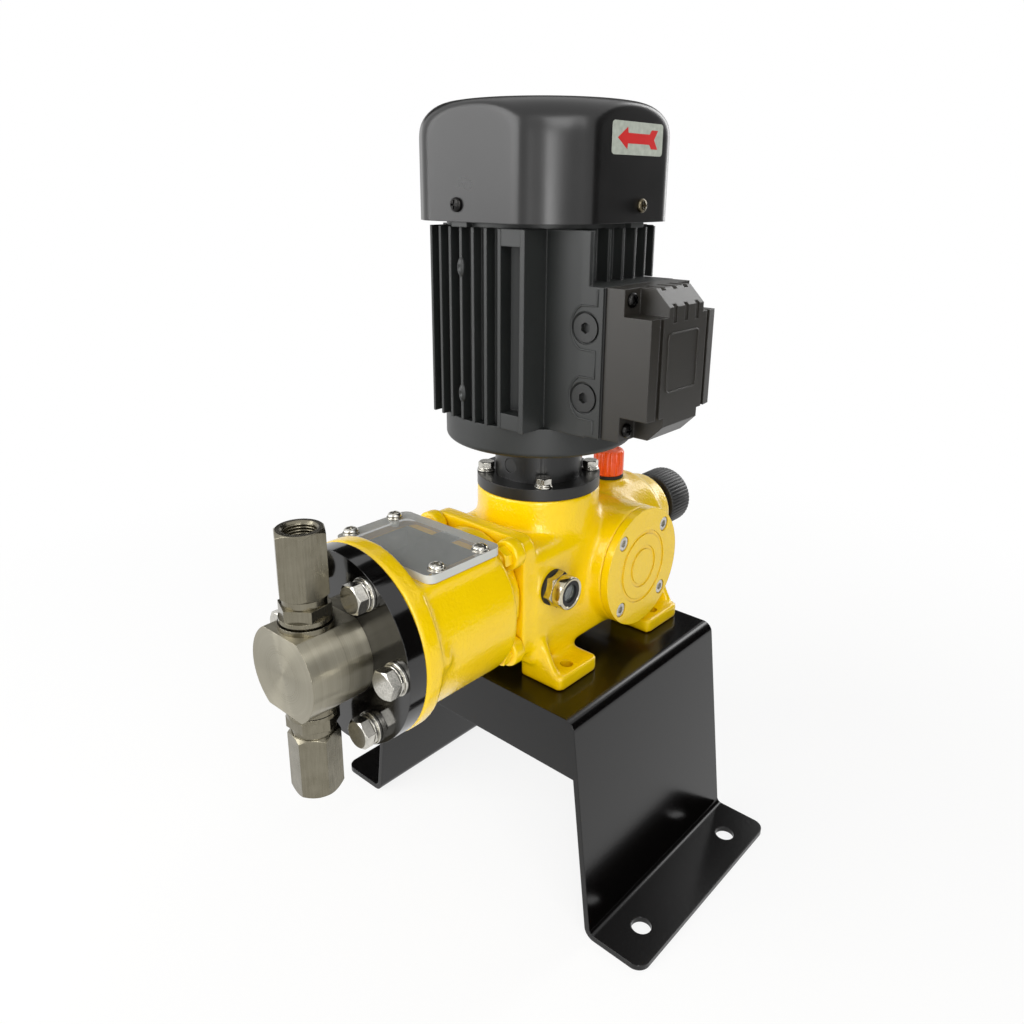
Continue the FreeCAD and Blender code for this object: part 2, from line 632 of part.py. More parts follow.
def make_gearbox():
    half = GEARBOX_FLANGE_SIZE / 2
    flange = prism(
        rectangle(-half, half, PLUNGER_Z - half, PLUNGER_Z + half, 10.0),
        lambda a, b: point(GEARBOX_FRONT_X, a, b), X_AXIS * GEARBOX_FLANGE_THICKNESS)
    side = GEARBOX_HALF_WIDTH
    body = prism(
        [(-side, GEARBOX_BOTTOM_Z, 6.0), (side, GEARBOX_BOTTOM_Z, 6.0),
         (side, GEARBOX_TOP_Z, 12.0), (-side, GEARBOX_TOP_Z, 12.0)],
        lambda a, b: point(GEARBOX_BODY_X, a, b), X_AXIS * (WHEEL_X - GEARBOX_BODY_X))
    neck = z_rod(GEARBOX_TOP_Z - 20.0, NECK_TOP_Z, NECK_RADIUS)
    barrel = y_rod(-BARREL_HALF_LENGTH, BARREL_HALF_LENGTH, BARREL_RADIUS, WHEEL_X, WHEEL_Z)
    boss = rear_boss(REAR_RADIUS, REAR_END_RADIUS, WHEEL_X, REAR_SHOULDER_X, REAR_END_X)
    cap_boss = z_rod(PLUNGER_Z + REAR_BORE, CAP_BOSS_TOP_Z, CAP_BOSS_RADIUS, CAP_X)
    pieces = [flange, body, neck, barrel, boss, cap_boss]
    leg_x = FRONT_FOOT_X + FOOT_LENGTH - LEG_WIDTH
    for sign in COVER_SIDES:
        recess = block(leg_x, WHEEL_X, sign * (side - PAD_STEP), sign * (side + 1.0),
                       GEARBOX_BOTTOM_Z - 1.0, GEARBOX_BOTTOM_Z + 28.0)
        pieces[1] = pieces[1].cut(recess)
    front = gearbox_foot(FRONT_FOOT_X, FRONT_MOUNT_X, FRONT_FOOT_X, GEARBOX_BOTTOM_Z + FRONT_LEG_HEIGHT)
    rear_x = REAR_FOOT_X + FOOT_LENGTH
    rear = gearbox_foot(REAR_FOOT_X, REAR_MOUNT_X, rear_x, GEARBOX_BOTTOM_Z + REAR_LEG_HEIGHT)
    inside = block(INNER_FRONT_X, WHEEL_X, -INNER_HALF_WIDTH, INNER_HALF_WIDTH, INNER_LOW_Z, INNER_HIGH_Z)
    cavities = [
        inside,
        y_rod(-BARREL_HALF_LENGTH - 1, BARREL_HALF_LENGTH + 1, BARREL_INNER_RIM, WHEEL_X, WHEEL_Z),
        y_rod(-INNER_HALF_WIDTH, INNER_HALF_WIDTH, BARREL_BORE, WHEEL_X, WHEEL_Z),
        x_rod(WHEEL_X, REAR_BORE_END_X, REAR_BORE),
        z_rod(INNER_HIGH_Z - 1, NECK_TOP_Z + 1, NECK_BORE_RADIUS),
        z_rod(PLUNGER_Z, CAP_BOSS_TOP_Z + 1, CAP_STEM_RADIUS + 0.1, CAP_X),
        x_rod(REAR_BORE_END_X - 1, REAR_END_X + 1, BUSH_RADIUS + RUNNING_FIT),
        y_rod(-GEARBOX_HALF_WIDTH - 1, 0, SIGHT_STEM_RADIUS + RUNNING_FIT, SIGHT_X, SIGHT_Z),
    ]
    casting = joined(pieces + [front, rear, mirrored_y(front), mirrored_y(rear)]).cut(cavities)
    guide = x_rod(INNER_FRONT_X - 1, ROD_GUIDE_END_X, ROD_BUSH_RADIUS + 3.0)
    bearing_seat = z_rod(INNER_LOW_Z - 1, INNER_LOW_Z + MOTOR_BEARING_WIDTH, MOTOR_BEARING_RADIUS + 4.0)
    bearing_seat = bearing_seat.cut(z_rod(INNER_LOW_Z, NECK_TOP_Z, MOTOR_BEARING_RADIUS + RUNNING_FIT))
    casting = joined([casting, guide, bearing_seat])
    bores = [
        x_rod(GEARBOX_FRONT_X - 1, ROD_GUIDE_END_X + 1, ROD_BUSH_RADIUS + RUNNING_FIT),
        x_rod(GEARBOX_FRONT_X - 1, GEARBOX_FRONT_X + ROD_SEAL_WIDTH, ROD_SEAL_RADIUS),
    ]
    for y, z in lug_places():
        bores.append(x_rod(GEARBOX_FRONT_X - 1, GEARBOX_BODY_X - 1.4, STUD_RADIUS + RUNNING_FIT, y, z))
    for x, y in adapter_bolt_places():
        bores.append(z_rod(NECK_TOP_Z - ADAPTER_BOLT_DEPTH - 2.0, NECK_TOP_Z + 1,
                           ADAPTER_BOLT_RADIUS + RUNNING_FIT, x, y))
    for sign in COVER_SIDES:
        for x, z in cover_screw_places():
            bores.append(y_rod(sign * (BARREL_HALF_LENGTH - 12.0), sign * (BARREL_HALF_LENGTH + 1),
                               COVER_SCREW_RADIUS + RUNNING_FIT, x, z))
    save("gearbox_housing", casting.cut(bores))


def lug_places():
    return [(sy * LUG_Y, PLUNGER_Z + sz * LUG_Z) for sy in (-1, 1) for sz in (-1, 1)]


def cover_screw_places():
    return around((WHEEL_X, WHEEL_Z), COVER_SCREW_PCD / 2, 4, 45.0)


def adapter_bolt_places():
    return around((MOTOR_X, 0.0), ADAPTER_BOLT_PCD / 2, 4, 45.0)


def make_side_covers():
    screws = []
    names = {-1: "side_cover_near", 1: "side_cover_far"}
    hub_radius = BEARING_RADIUS + COVER_HUB_WALL
    for sign in COVER_SIDES:
        seat = sign * BARREL_HALF_LENGTH
        face = sign * COVER_FACE_Y
        plate = y_rod(seat, face, BARREL_RADIUS, WHEEL_X, WHEEL_Z)
        spigot = y_rod(seat, sign * (BARREL_HALF_LENGTH - 4.0), BARREL_INNER_RIM - 0.1, WHEEL_X, WHEEL_Z)
        hub_end = sign * (BEARING_OUTER_Y - BEARING_WIDTH)
        hub = y_rod(seat, hub_end, hub_radius, WHEEL_X, WHEEL_Z)
        cover = joined([plate, spigot, hub])
        sink = face - sign * (COVER_RING_HEIGHT)
        cuts = [
            y_rod(hub_end - sign, sign * BEARING_OUTER_Y, BEARING_RADIUS + RUNNING_FIT, WHEEL_X, WHEEL_Z),
            y_rod(seat, sign * (BEARING_OUTER_Y - 1.0), WHEEL_SHAFT_RADIUS + 3.0, WHEEL_X, WHEEL_Z),
            y_tube(sink, face + sign, BARREL_RADIUS * 0.62, BARREL_RADIUS * 0.56, WHEEL_X, WHEEL_Z),
            y_tube(sink, face + sign, BARREL_RADIUS * 0.36, BARREL_RADIUS * 0.30, WHEEL_X, WHEEL_Z),
        ]
        for x, z in cover_screw_places():
            under = face - sign * (COVER_HEAD_HEIGHT + 0.6)
            cuts.append(y_rod(seat - sign * 5.0, face + sign, COVER_SCREW_RADIUS + 0.2, x, z))
            cuts.append(y_rod(under, face + sign, COVER_HEAD_RADIUS + 0.5, x, z))
            head = y_rod(under, under + sign * COVER_HEAD_HEIGHT, COVER_HEAD_RADIUS, x, z)
            socket_start = point(x, under + sign * COVER_HEAD_HEIGHT * 0.4, z)
            head = head.cut(hexagon(socket_start, Y_AXIS * (sign * COVER_HEAD_HEIGHT), 5.0))
            stem = y_rod(sign * (BARREL_HALF_LENGTH - 11.0), under, COVER_SCREW_RADIUS, x, z)
            screws.append(joined([head, stem]))
        save(names[sign], cover.cut(cuts))
    save("side_cover_screws", *screws)


def make_sight_glass():
    wall = -GEARBOX_HALF_WIDTH
    seal_face = wall - SIGHT_SEAL_THICKNESS
    hex_face = seal_face - SIGHT_HEX_LENGTH
    rim_face = hex_face - SIGHT_RIM_LENGTH
    body = joined([
        y_rod(wall + GEARBOX_WALL, seal_face, SIGHT_STEM_RADIUS, SIGHT_X, SIGHT_Z),
        hexagon(point(SIGHT_X, seal_face, SIGHT_Z), Y_AXIS * -SIGHT_HEX_LENGTH, SIGHT_HEX, 15.0),
        y_rod(hex_face, rim_face, SIGHT_RIM_RADIUS, SIGHT_X, SIGHT_Z),
    ])
    lens_back = rim_face + 5.0
    body = body.cut([
        y_rod(lens_back, rim_face - 1, SIGHT_BORE_RADIUS, SIGHT_X, SIGHT_Z),
        y_rod(wall + GEARBOX_WALL + 1, lens_back, SIGHT_WINDOW_RADIUS, SIGHT_X, SIGHT_Z),
    ])
    save("sight_glass_body", body)
    save("sight_glass_lens", y_rod(lens_back, lens_back - 2.5, SIGHT_BORE_RADIUS - 0.1, SIGHT_X, SIGHT_Z))
    save("sight_glass_seals",
         y_tube(wall, seal_face, SIGHT_SEAL_RADIUS, SIGHT_STEM_RADIUS + 0.1, SIGHT_X, SIGHT_Z),
         y_tube(lens_back - 2.5, rim_face + 0.5, SIGHT_BORE_RADIUS - 0.1, SIGHT_WINDOW_RADIUS,
                SIGHT_X, SIGHT_Z))


def fluted(start, along, radius, flutes, depth):
    """A grip: a round bar with shallow round grooves along it."""
    bar = Part.makeCylinder(radius, along.Length, start, along)
    forward = FreeCAD.Vector(along).normalize()
    across = Z_AXIS if abs(forward.z) < 0.9 else X_AXIS
    groove_radius = radius * math.pi / flutes * 0.55
    cuts = []
    for k in range(flutes):
        out = FreeCAD.Rotation(forward, 360.0 * k / flutes).multVec(across)
        place = start + out * (radius + groove_radius - depth)
        cuts.append(Part.makeCylinder(groove_radius, along.Length, place, along))
    return bar.cut(cuts)


def make_filler_cap():
    seat = CAP_BOSS_TOP_Z
    under = seat + CAP_SEAL_THICKNESS
    save("filler_cap_gasket", z_tube(seat, under, CAP_RADIUS, CAP_STEM_RADIUS + 0.2, CAP_X))
    grip = fluted(point(CAP_X, 0, under), Z_AXIS * CAP_HEIGHT, CAP_RADIUS, CAP_FLUTES, 0.6)
    stem = z_rod(seat - CAP_STEM_LENGTH, under, CAP_STEM_RADIUS, CAP_X)
    save("filler_cap", joined([grip, stem]))


# Stroke adjustment: a bush in the rear boss, a sliding hexagonal spindle, and the knob that drives it

def make_stroke_adjuster():
    neck_end = KNOB_FRONT_X + 10.6
    bush = joined([
        x_rod(REAR_BORE_END_X, REAR_END_X, BUSH_RADIUS),
        x_rod(REAR_END_X, REAR_END_X + BUSH_FLANGE_THICKNESS, BUSH_FLANGE_RADIUS),
        x_rod(REAR_END_X, neck_end, BUSH_NECK_RADIUS),
    ])
    groove_x = KNOB_FRONT_X + 6.0
    groove = x_tube(groove_x - 2.6, groove_x + 2.6, BUSH_NECK_RADIUS + 1, BUSH_NECK_RADIUS - 2.0)
    hex_end = neck_end - STROKE - 3.0
    hex_hole = hexagon(point(REAR_BORE_END_X - 1, 0, PLUNGER_Z), X_AXIS * (hex_end - REAR_BORE_END_X + 1),
                       SPINDLE_HEX + 2 * RUNNING_FIT)
    round_hole = x_rod(hex_end, neck_end + 1, SPINDLE_RADIUS + 0.5)
    save("spindle_bush", bush.cut([groove, hex_hole, round_hole]))
    tip_x = YOKE_REAR_X + YOKE_BAR + 2 * STROKE + CLEARANCE
    spindle_end = KNOB_FRONT_X + KNOB_LENGTH - 6.0
    spindle = joined([
        hexagon(point(tip_x, 0, PLUNGER_Z), X_AXIS * (neck_end - tip_x), SPINDLE_HEX),
        x_rod(neck_end - 2, spindle_end, SPINDLE_RADIUS),
    ])
    save("adjusting_spindle", spindle)
    grip = fluted(point(KNOB_FRONT_X, 0, PLUNGER_Z), X_AXIS * KNOB_LENGTH, KNOB_RADIUS, KNOB_FLUTES, 0.7)
    set_screw = z_rod(PLUNGER_Z + BUSH_NECK_RADIUS - 1.4, PLUNGER_Z + KNOB_RADIUS - 1.2, 2.5, groove_x)
    grip = grip.cut([
        x_rod(KNOB_FRONT_X - 1, neck_end + CLEARANCE, BUSH_NECK_RADIUS + CLEARANCE),
        x_rod(KNOB_FRONT_X, spindle_end + 1.0, SPINDLE_RADIUS + 0.1),
        z_rod(PLUNGER_Z, PLUNGER_Z + KNOB_RADIUS + 1, 2.5 + RUNNING_FIT, groove_x),
    ])
    save("stroke_knob", grip)
    save("knob_set_screw", set_screw)


# Worm drive

def tooth_half_width(height):
    """Half the width of a straight-sided tooth at a height above the pitch line."""
    at_pitch = math.pi * GEAR_MODULE / 4 - TOOTH_CLEARANCE
    return at_pitch - height * math.tan(math.radians(FLANK_ANGLE))


def make_worm_wheel():
    tip = GEAR_MODULE
    root = -1.25 * GEAR_MODULE
    sunk = root - 1.0
    lead_slope = WORM_LEAD / (2 * math.pi * WORM_PITCH_RADIUS)
    sweep = point(0, WHEEL_WIDTH, WHEEL_WIDTH * lead_slope)
    blank = y_rod(-WHEEL_WIDTH / 2, WHEEL_WIDTH / 2, WHEEL_PITCH_RADIUS + root, WHEEL_X, WHEEL_Z)
    corners = []
    for height, side in ((sunk, -1), (tip, -1), (tip, 1), (sunk, 1)):
        width = tooth_half_width(max(height, root)) * side
        corners.append((WHEEL_X - WHEEL_PITCH_RADIUS - height, WHEEL_Z + width, 0))
    low = -sweep.z / 2
    tooth = prism(corners, lambda a, b: point(a, -WHEEL_WIDTH / 2, b + low), sweep)
    teeth = []
    centre = point(WHEEL_X, 0, WHEEL_Z)
    for k in range(WHEEL_TEETH):
        copy = tooth.copy()
        copy.rotate(centre, Y_AXIS, 360.0 * k / WHEEL_TEETH)
        teeth.append(copy)
    wheel = blank.fuse(teeth)
    bore = y_rod(-WHEEL_WIDTH, WHEEL_WIDTH, WHEEL_SHAFT_RADIUS + RUNNING_FIT, WHEEL_X, WHEEL_Z)
    save("worm_wheel", wheel.cut(bore))


def make_worm():
    root = WORM_PITCH_RADIUS - 1.25 * GEAR_MODULE
    tip = WORM_PITCH_RADIUS + GEAR_MODULE
    low = WORM_CENTRE_Z - WORM_LENGTH / 2
    turns_up = round(WORM_LENGTH / WORM_LEAD) - 1
    start = WHEEL_Z - WORM_LEAD * turns_up / 2
    centre = point(MOTOR_X, 0, start)
    helix = Part.makeHelix(WORM_LEAD, WORM_LEAD * turns_up, WORM_PITCH_RADIUS)
    helix.translate(centre)
    corners = []
    for radius, side in ((root - 0.6, -1), (tip, -1), (tip, 1), (root - 0.6, 1)):
        half_width = tooth_half_width(max(radius, root) - WORM_PITCH_RADIUS) * side
        corners.append((radius, half_width, 0))
    section = outline(corners, lambda a, b: point(MOTOR_X + a, 0, start + b))
    path = Part.Wire(helix.Edges)
    thread = path.makePipeShell([section], True, True)
    core = z_rod(low, low + WORM_LENGTH, root)
    worm = core.fuse(thread)
    save("worm", worm.cut(z_rod(low - 1, low + WORM_LENGTH + 1, SHAFT_RADIUS + RUNNING_FIT)))


def make_wheel_shaft():
    reach = WHEEL_SHAFT_HALF_LENGTH
    save("wheel_shaft", y_rod(-reach, reach, WHEEL_SHAFT_RADIUS, WHEEL_X, WHEEL_Z))
    eccentrics = []
    for sign in COVER_SIDES:
        near = sign * (WHEEL_WIDTH / 2 + 1.0)
        disc = y_rod(near, near + sign * ECCENTRIC_WIDTH, ECCENTRIC_RADIUS, WHEEL_X + STROKE / 2, WHEEL_Z)
        hole = y_rod(near - sign, near + sign * (ECCENTRIC_WIDTH + 1), WHEEL_SHAFT_RADIUS + RUNNING_FIT,
                     WHEEL_X, WHEEL_Z)
        eccentrics.append(disc.cut(hole))
    save("eccentrics", *eccentrics)


def make_bearings():
    """Ball bearings as plain rings: two on the wheel's shaft and three on the motor's."""
    rings = []
    for sign in COVER_SIDES:
        outer = sign * BEARING_OUTER_Y
        rings.append(y_tube(outer, outer - sign * BEARING_WIDTH, BEARING_RADIUS,
                            WHEEL_SHAFT_RADIUS + RUNNING_FIT, WHEEL_X, WHEEL_Z))
    seats = [
        (INNER_LOW_Z, SHAFT_RADIUS),
        (BELL_SEAT_Z, ROTOR_SHAFT_RADIUS),
        (UPPER_SEAT_Z, FAN_SHAFT_RADIUS),
    ]
    for low, inner in seats:
        rings.append(z_tube(low, low + MOTOR_BEARING_WIDTH, MOTOR_BEARING_RADIUS, inner + RUNNING_FIT))
    save("bearings", *rings)


# Yoke, push rod and return spring

def make_yoke():
    slot_radius = WHEEL_SHAFT_RADIUS + 0.5
    pad_face = WHEEL_X - ECCENTRIC_RADIUS - STROKE / 2 - CLEARANCE
    rear = YOKE_REAR_X + YOKE_BAR
    arms = []
    for sign in COVER_SIDES:
        near = sign * YOKE_ARM_INNER_Y
        far = sign * YOKE_ARM_OUTER_Y
        front_half = block(YOKE_FRONT_X, WHEEL_X + YOKE_FRONT_LENGTH, near, far,
                           WHEEL_Z - YOKE_FRONT_BELOW, WHEEL_Z + YOKE_FRONT_ABOVE)
        rear_half = block(WHEEL_X, rear, near, far, WHEEL_Z - YOKE_REAR_BELOW, WHEEL_Z + YOKE_REAR_ABOVE)
        pad = block(pad_face - YOKE_PAD_THICKNESS, pad_face, sign * (WHEEL_WIDTH / 2 + 0.8), near,
                    WHEEL_Z - YOKE_PAD_HALF_HEIGHT, WHEEL_Z + YOKE_PAD_HALF_HEIGHT)
        arms += [front_half, rear_half, pad]
    bars = [
        block(YOKE_FRONT_X, YOKE_FRONT_X + YOKE_BAR, -YOKE_ARM_INNER_Y, YOKE_ARM_INNER_Y,
              PLUNGER_Z - YOKE_BRIDGE_BELOW, PLUNGER_Z + YOKE_BRIDGE_ABOVE),
        block(YOKE_REAR_X, rear, -YOKE_ARM_INNER_Y, YOKE_ARM_INNER_Y,
              WHEEL_Z - YOKE_REAR_BELOW, WHEEL_Z + YOKE_REAR_ABOVE),
    ]
    yoke = joined(arms + bars)
    slot_start = WHEEL_X - STROKE
    slot = joined([
        y_rod(-YOKE_ARM_OUTER_Y - 1, YOKE_ARM_OUTER_Y + 1, slot_radius, slot_start, WHEEL_Z),
        y_rod(-YOKE_ARM_OUTER_Y - 1, YOKE_ARM_OUTER_Y + 1, slot_radius, WHEEL_X, WHEEL_Z),
        block(slot_start, WHEEL_X, -YOKE_ARM_OUTER_Y - 1, YOKE_ARM_OUTER_Y + 1,
              WHEEL_Z - slot_radius, WHEEL_Z + slot_radius),
    ])
    hole = x_rod(YOKE_FRONT_X - 1, YOKE_FRONT_X + YOKE_BAR + 1, ROD_THREAD_RADIUS + RUNNING_FIT)
    save("yoke", yoke.cut([slot, hole]))


def make_push_rod():
    rod = joined([
        x_rod(ROD_FRONT_X, YOKE_FRONT_X, ROD_RADIUS),
        x_rod(YOKE_FRONT_X - 1, YOKE_FRONT_X + YOKE_BAR, ROD_THREAD_RADIUS),
    ])
    save("push_rod", rod)
    seal_end = GEARBOX_FRONT_X + ROD_SEAL_WIDTH
    save("oil_seals",
         x_tube(GEARBOX_FRONT_X, seal_end, ROD_SEAL_RADIUS - 0.05, ROD_RADIUS + RUNNING_FIT),
         z_tube(NECK_TOP_Z, NECK_TOP_Z + SHAFT_SEAL_WIDTH, ADAPTER_BORE_RADIUS - 0.05,
                ROTOR_SHAFT_RADIUS + RUNNING_FIT))
    save("rod_bush", x_tube(seal_end, ROD_GUIDE_END_X, ROD_BUSH_RADIUS, ROD_RADIUS + RUNNING_FIT))
    start = INNER_FRONT_X + SPRING_WIRE / 2 + 0.1
    length = YOKE_FRONT_X - INNER_FRONT_X - SPRING_WIRE - 0.4
    helix = Part.makeHelix(length / SPRING_TURNS, length, SPRING_RADIUS)
    helix.rotate(point(0, 0, 0), Y_AXIS, 90)
    helix.translate(point(start, 0, PLUNGER_Z))
    begin = helix.Vertexes[0].Point
    out = (begin - point(begin.x, 0, PLUNGER_Z)).normalize()
    half = SPRING_WIRE / 2
    section = outline(rectangle(-half, half, -half, half, 0), lambda a, b: begin + out * a + X_AXIS * b)
    save("return_spring", Part.Wire(helix.Edges).makePipeShell([section], True, True))


# Lantern casting with its clear window

def window_screw_places():
    places = []
    for sx in (-0.5, 0.5):
        for sy in (-0.5, 0.5):
            places.append((WINDOW_SCREW_X + sx * WINDOW_SCREW_PITCH_X, sy * WINDOW_SCREW_PITCH_Y))
    return places


def make_lantern():
    rim_end = LANTERN_FRONT_X + LANTERN_RIM_THICKNESS
    window_end = WINDOW_FRONT_X + WINDOW_LENGTH
    rim = x_rod(LANTERN_FRONT_X, rim_end, LANTERN_RIM_RADIUS)
    body = x_rod(rim_end - 1, LANTERN_SHOULDER_X, LANTERN_RADIUS)
    neck = x_rod(LANTERN_SHOULDER_X - 1, LANTERN_LUG_X + 1, LANTERN_NECK_RADIUS)
    flange = x_rod(LANTERN_LUG_X, GEARBOX_FRONT_X, LANTERN_NECK_RADIUS)
    half = WINDOW_WIDTH / 2
    pad = prism(
        [(rim_end - 1, -half, 0), (window_end, -half, WINDOW_CORNER_RADIUS),
         (window_end, half, WINDOW_CORNER_RADIUS), (rim_end - 1, half, 0)],
        lambda a, b: point(a, b, PLUNGER_Z), Z_AXIS * (WINDOW_SEAT_Z - PLUNGER_Z))
    boss_end = rim_end + 10.0
    pieces = [rim, body, neck, flange, pad]
    for y, z in pump_bolt_places():
        if z < PLUNGER_Z + 10.0:
            pieces.append(x_rod(rim_end - 1, boss_end, PUMP_BOLT_RADIUS + 4.5, y, z))
    for y, z in lug_places():
        pieces.append(x_rod(LANTERN_LUG_X, GEARBOX_FRONT_X, LUG_RADIUS, y, z))
    casting = joined(pieces)
    opening_start = WINDOW_SCREW_X - WINDOW_OPENING_LENGTH / 2
    cuts = [
        x_rod(LANTERN_BORE_X, LANTERN_SHOULDER_X - 5.0, LANTERN_BORE_RADIUS),
        x_rod(LANTERN_FRONT_X - 1, LANTERN_BORE_X + 1, TAIL_RADIUS + RUNNING_FIT),
        x_rod(LANTERN_SHOULDER_X - 6, GEARBOX_FRONT_X + 1, ROD_SEAL_RADIUS + 2.0),
        block(opening_start, opening_start + WINDOW_OPENING_LENGTH,
              -WINDOW_OPENING_WIDTH / 2, WINDOW_OPENING_WIDTH / 2, PLUNGER_Z, WINDOW_SEAT_Z + 1),
        block(rim_end, LANTERN_SHOULDER_X + 1, -LANTERN_RADIUS, LANTERN_RADIUS,
              WINDOW_SEAT_Z, PLUNGER_Z + LANTERN_RADIUS + 1),
    ]
    for y, z in pump_bolt_places():
        cuts.append(x_rod(LANTERN_FRONT_X - 1, rim_end - 0.6, PUMP_BOLT_RADIUS + 0.1, y, z))
    for y, z in lug_places():
        cuts.append(x_rod(LANTERN_LUG_X - 1, GEARBOX_FRONT_X + 1, STUD_RADIUS + 0.3, y, z))
    for x, y in window_screw_places():
        cuts.append(z_rod(WINDOW_SEAT_Z - 9.0, WINDOW_SEAT_Z + 1, SCREW_RADIUS + RUNNING_FIT, x, y))
    save("lantern", casting.cut(cuts))
    studs = []
    nuts = []
    for y, z in lug_places():
        studs.append(x_rod(LANTERN_LUG_X - NUT_THICKNESS - 0.8, GEARBOX_BODY_X - 1.6, STUD_RADIUS, y, z))
        nut = hexagon(point(LANTERN_LUG_X - NUT_THICKNESS, y, z), X_AXIS * NUT_THICKNESS, NUT_FLATS)
        bore = x_rod(LANTERN_LUG_X - NUT_THICKNESS - 1, LANTERN_LUG_X + 1, STUD_RADIUS + RUNNING_FIT, y, z)
        nuts.append(nut.cut(bore))
    save("lantern_studs", *studs, *nuts)


def make_window():
    plate_top = WINDOW_SEAT_Z + WINDOW_THICKNESS
    half = WINDOW_WIDTH / 2
    plate = prism(
        rectangle(WINDOW_FRONT_X, WINDOW_FRONT_X + WINDOW_LENGTH, -half, half, WINDOW_CORNER_RADIUS),
        lambda a, b: point(a, b, WINDOW_SEAT_Z), Z_AXIS * WINDOW_THICKNESS)
    washers = []
    screws = []
    for x, y in window_screw_places():
        plate = plate.cut(z_rod(WINDOW_SEAT_Z - 1, plate_top + 1, SCREW_RADIUS + 0.3, x, y))
        washer_top = plate_top + SCREW_WASHER_THICKNESS
        washers.append(z_tube(plate_top, washer_top, SCREW_WASHER_RADIUS, SCREW_RADIUS + 0.2, x, y))
        head = z_rod(washer_top, washer_top + SCREW_HEAD_HEIGHT, SCREW_HEAD_RADIUS, x, y)
        stem = z_rod(WINDOW_SEAT_Z - 8.0, washer_top, SCREW_RADIUS, x, y)
        screws.append(joined([head, stem]))
    save("window_plate", plate)
    save("window_screws", *screws, *washers)


# Pump flange, its bolts, and the head with plunger, packing and gland

def pump_bolt_places():
    return around((0.0, PLUNGER_Z), PUMP_BOLT_PCD / 2, PUMP_BOLT_COUNT)


def make_pump_flange():
    disc = x_tube(FLANGE_FACE_X, LANTERN_FRONT_X, PUMP_FLANGE_RADIUS, TAIL_RADIUS + RUNNING_FIT)
    holes = [x_rod(FLANGE_FACE_X - 1, LANTERN_FRONT_X + 1, PUMP_BOLT_RADIUS + 0.6, y, z)
             for y, z in pump_bolt_places()]
    save("pump_flange", disc.cut(holes))
    washers = []
    spring_washers = []
    bolts = []
    washer_x = FLANGE_FACE_X - PUMP_WASHER_THICKNESS
    spring_x = washer_x - SPRING_WASHER_THICKNESS
    head_x = spring_x - PUMP_BOLT_HEAD
    bolt_end = LANTERN_FRONT_X + LANTERN_RIM_THICKNESS - 1.4
    for y, z in pump_bolt_places():
        washers.append(x_tube(washer_x, FLANGE_FACE_X, PUMP_WASHER_RADIUS, PUMP_BOLT_RADIUS + 0.4, y, z))
        ring = x_tube(spring_x, washer_x, SPRING_WASHER_RADIUS, PUMP_BOLT_RADIUS + 0.3, y, z)
        gap = block(spring_x - 1, washer_x + 1, y, y + SPRING_WASHER_RADIUS + 1, z - 0.8, z + 0.8)
        spring_washers.append(ring.cut(gap))
        head = hexagon(point(head_x, y, z), X_AXIS * PUMP_BOLT_HEAD, PUMP_BOLT_FLATS)
        bolts.append(joined([head, x_rod(spring_x - 1, bolt_end, PUMP_BOLT_RADIUS, y, z)]))
    save("pump_flange_washers", *washers, *spring_washers)
    save("pump_flange_bolts", *bolts)


def make_pump_head():
    barrel = x_rod(HEAD_FRONT_X, FLANGE_FACE_X, HEAD_RADIUS)
    flats = block(HEAD_FRONT_X, FLANGE_FACE_X, -HEAD_RADIUS, HEAD_RADIUS,
                  PLUNGER_Z - HEAD_FLAT, PLUNGER_Z + HEAD_FLAT)
    head = joined([barrel.common(flats), x_rod(FLANGE_FACE_X - 1, TAIL_END_X, TAIL_RADIUS)])
    cuts = [
        x_rod(CHAMBER_FRONT_X, STUFFING_FRONT_X + 1, CHAMBER_RADIUS),
        x_rod(STUFFING_FRONT_X, TAIL_END_X + 1, STUFFING_RADIUS),
        z_rod(PLUNGER_Z - ADAPTER_THREAD_START, PLUNGER_Z + ADAPTER_THREAD_START,
              VALVE_PASSAGE_RADIUS, VALVE_X),
    ]
    for sign in (-1, 1):
        cuts.append(z_rod(PLUNGER_Z + sign * ADAPTER_THREAD_START, PLUNGER_Z + sign * (HEAD_FLAT + 1),
                          VALVE_THREAD_RADIUS + RUNNING_FIT, VALVE_X))
    save("pump_head", head.cut(cuts))


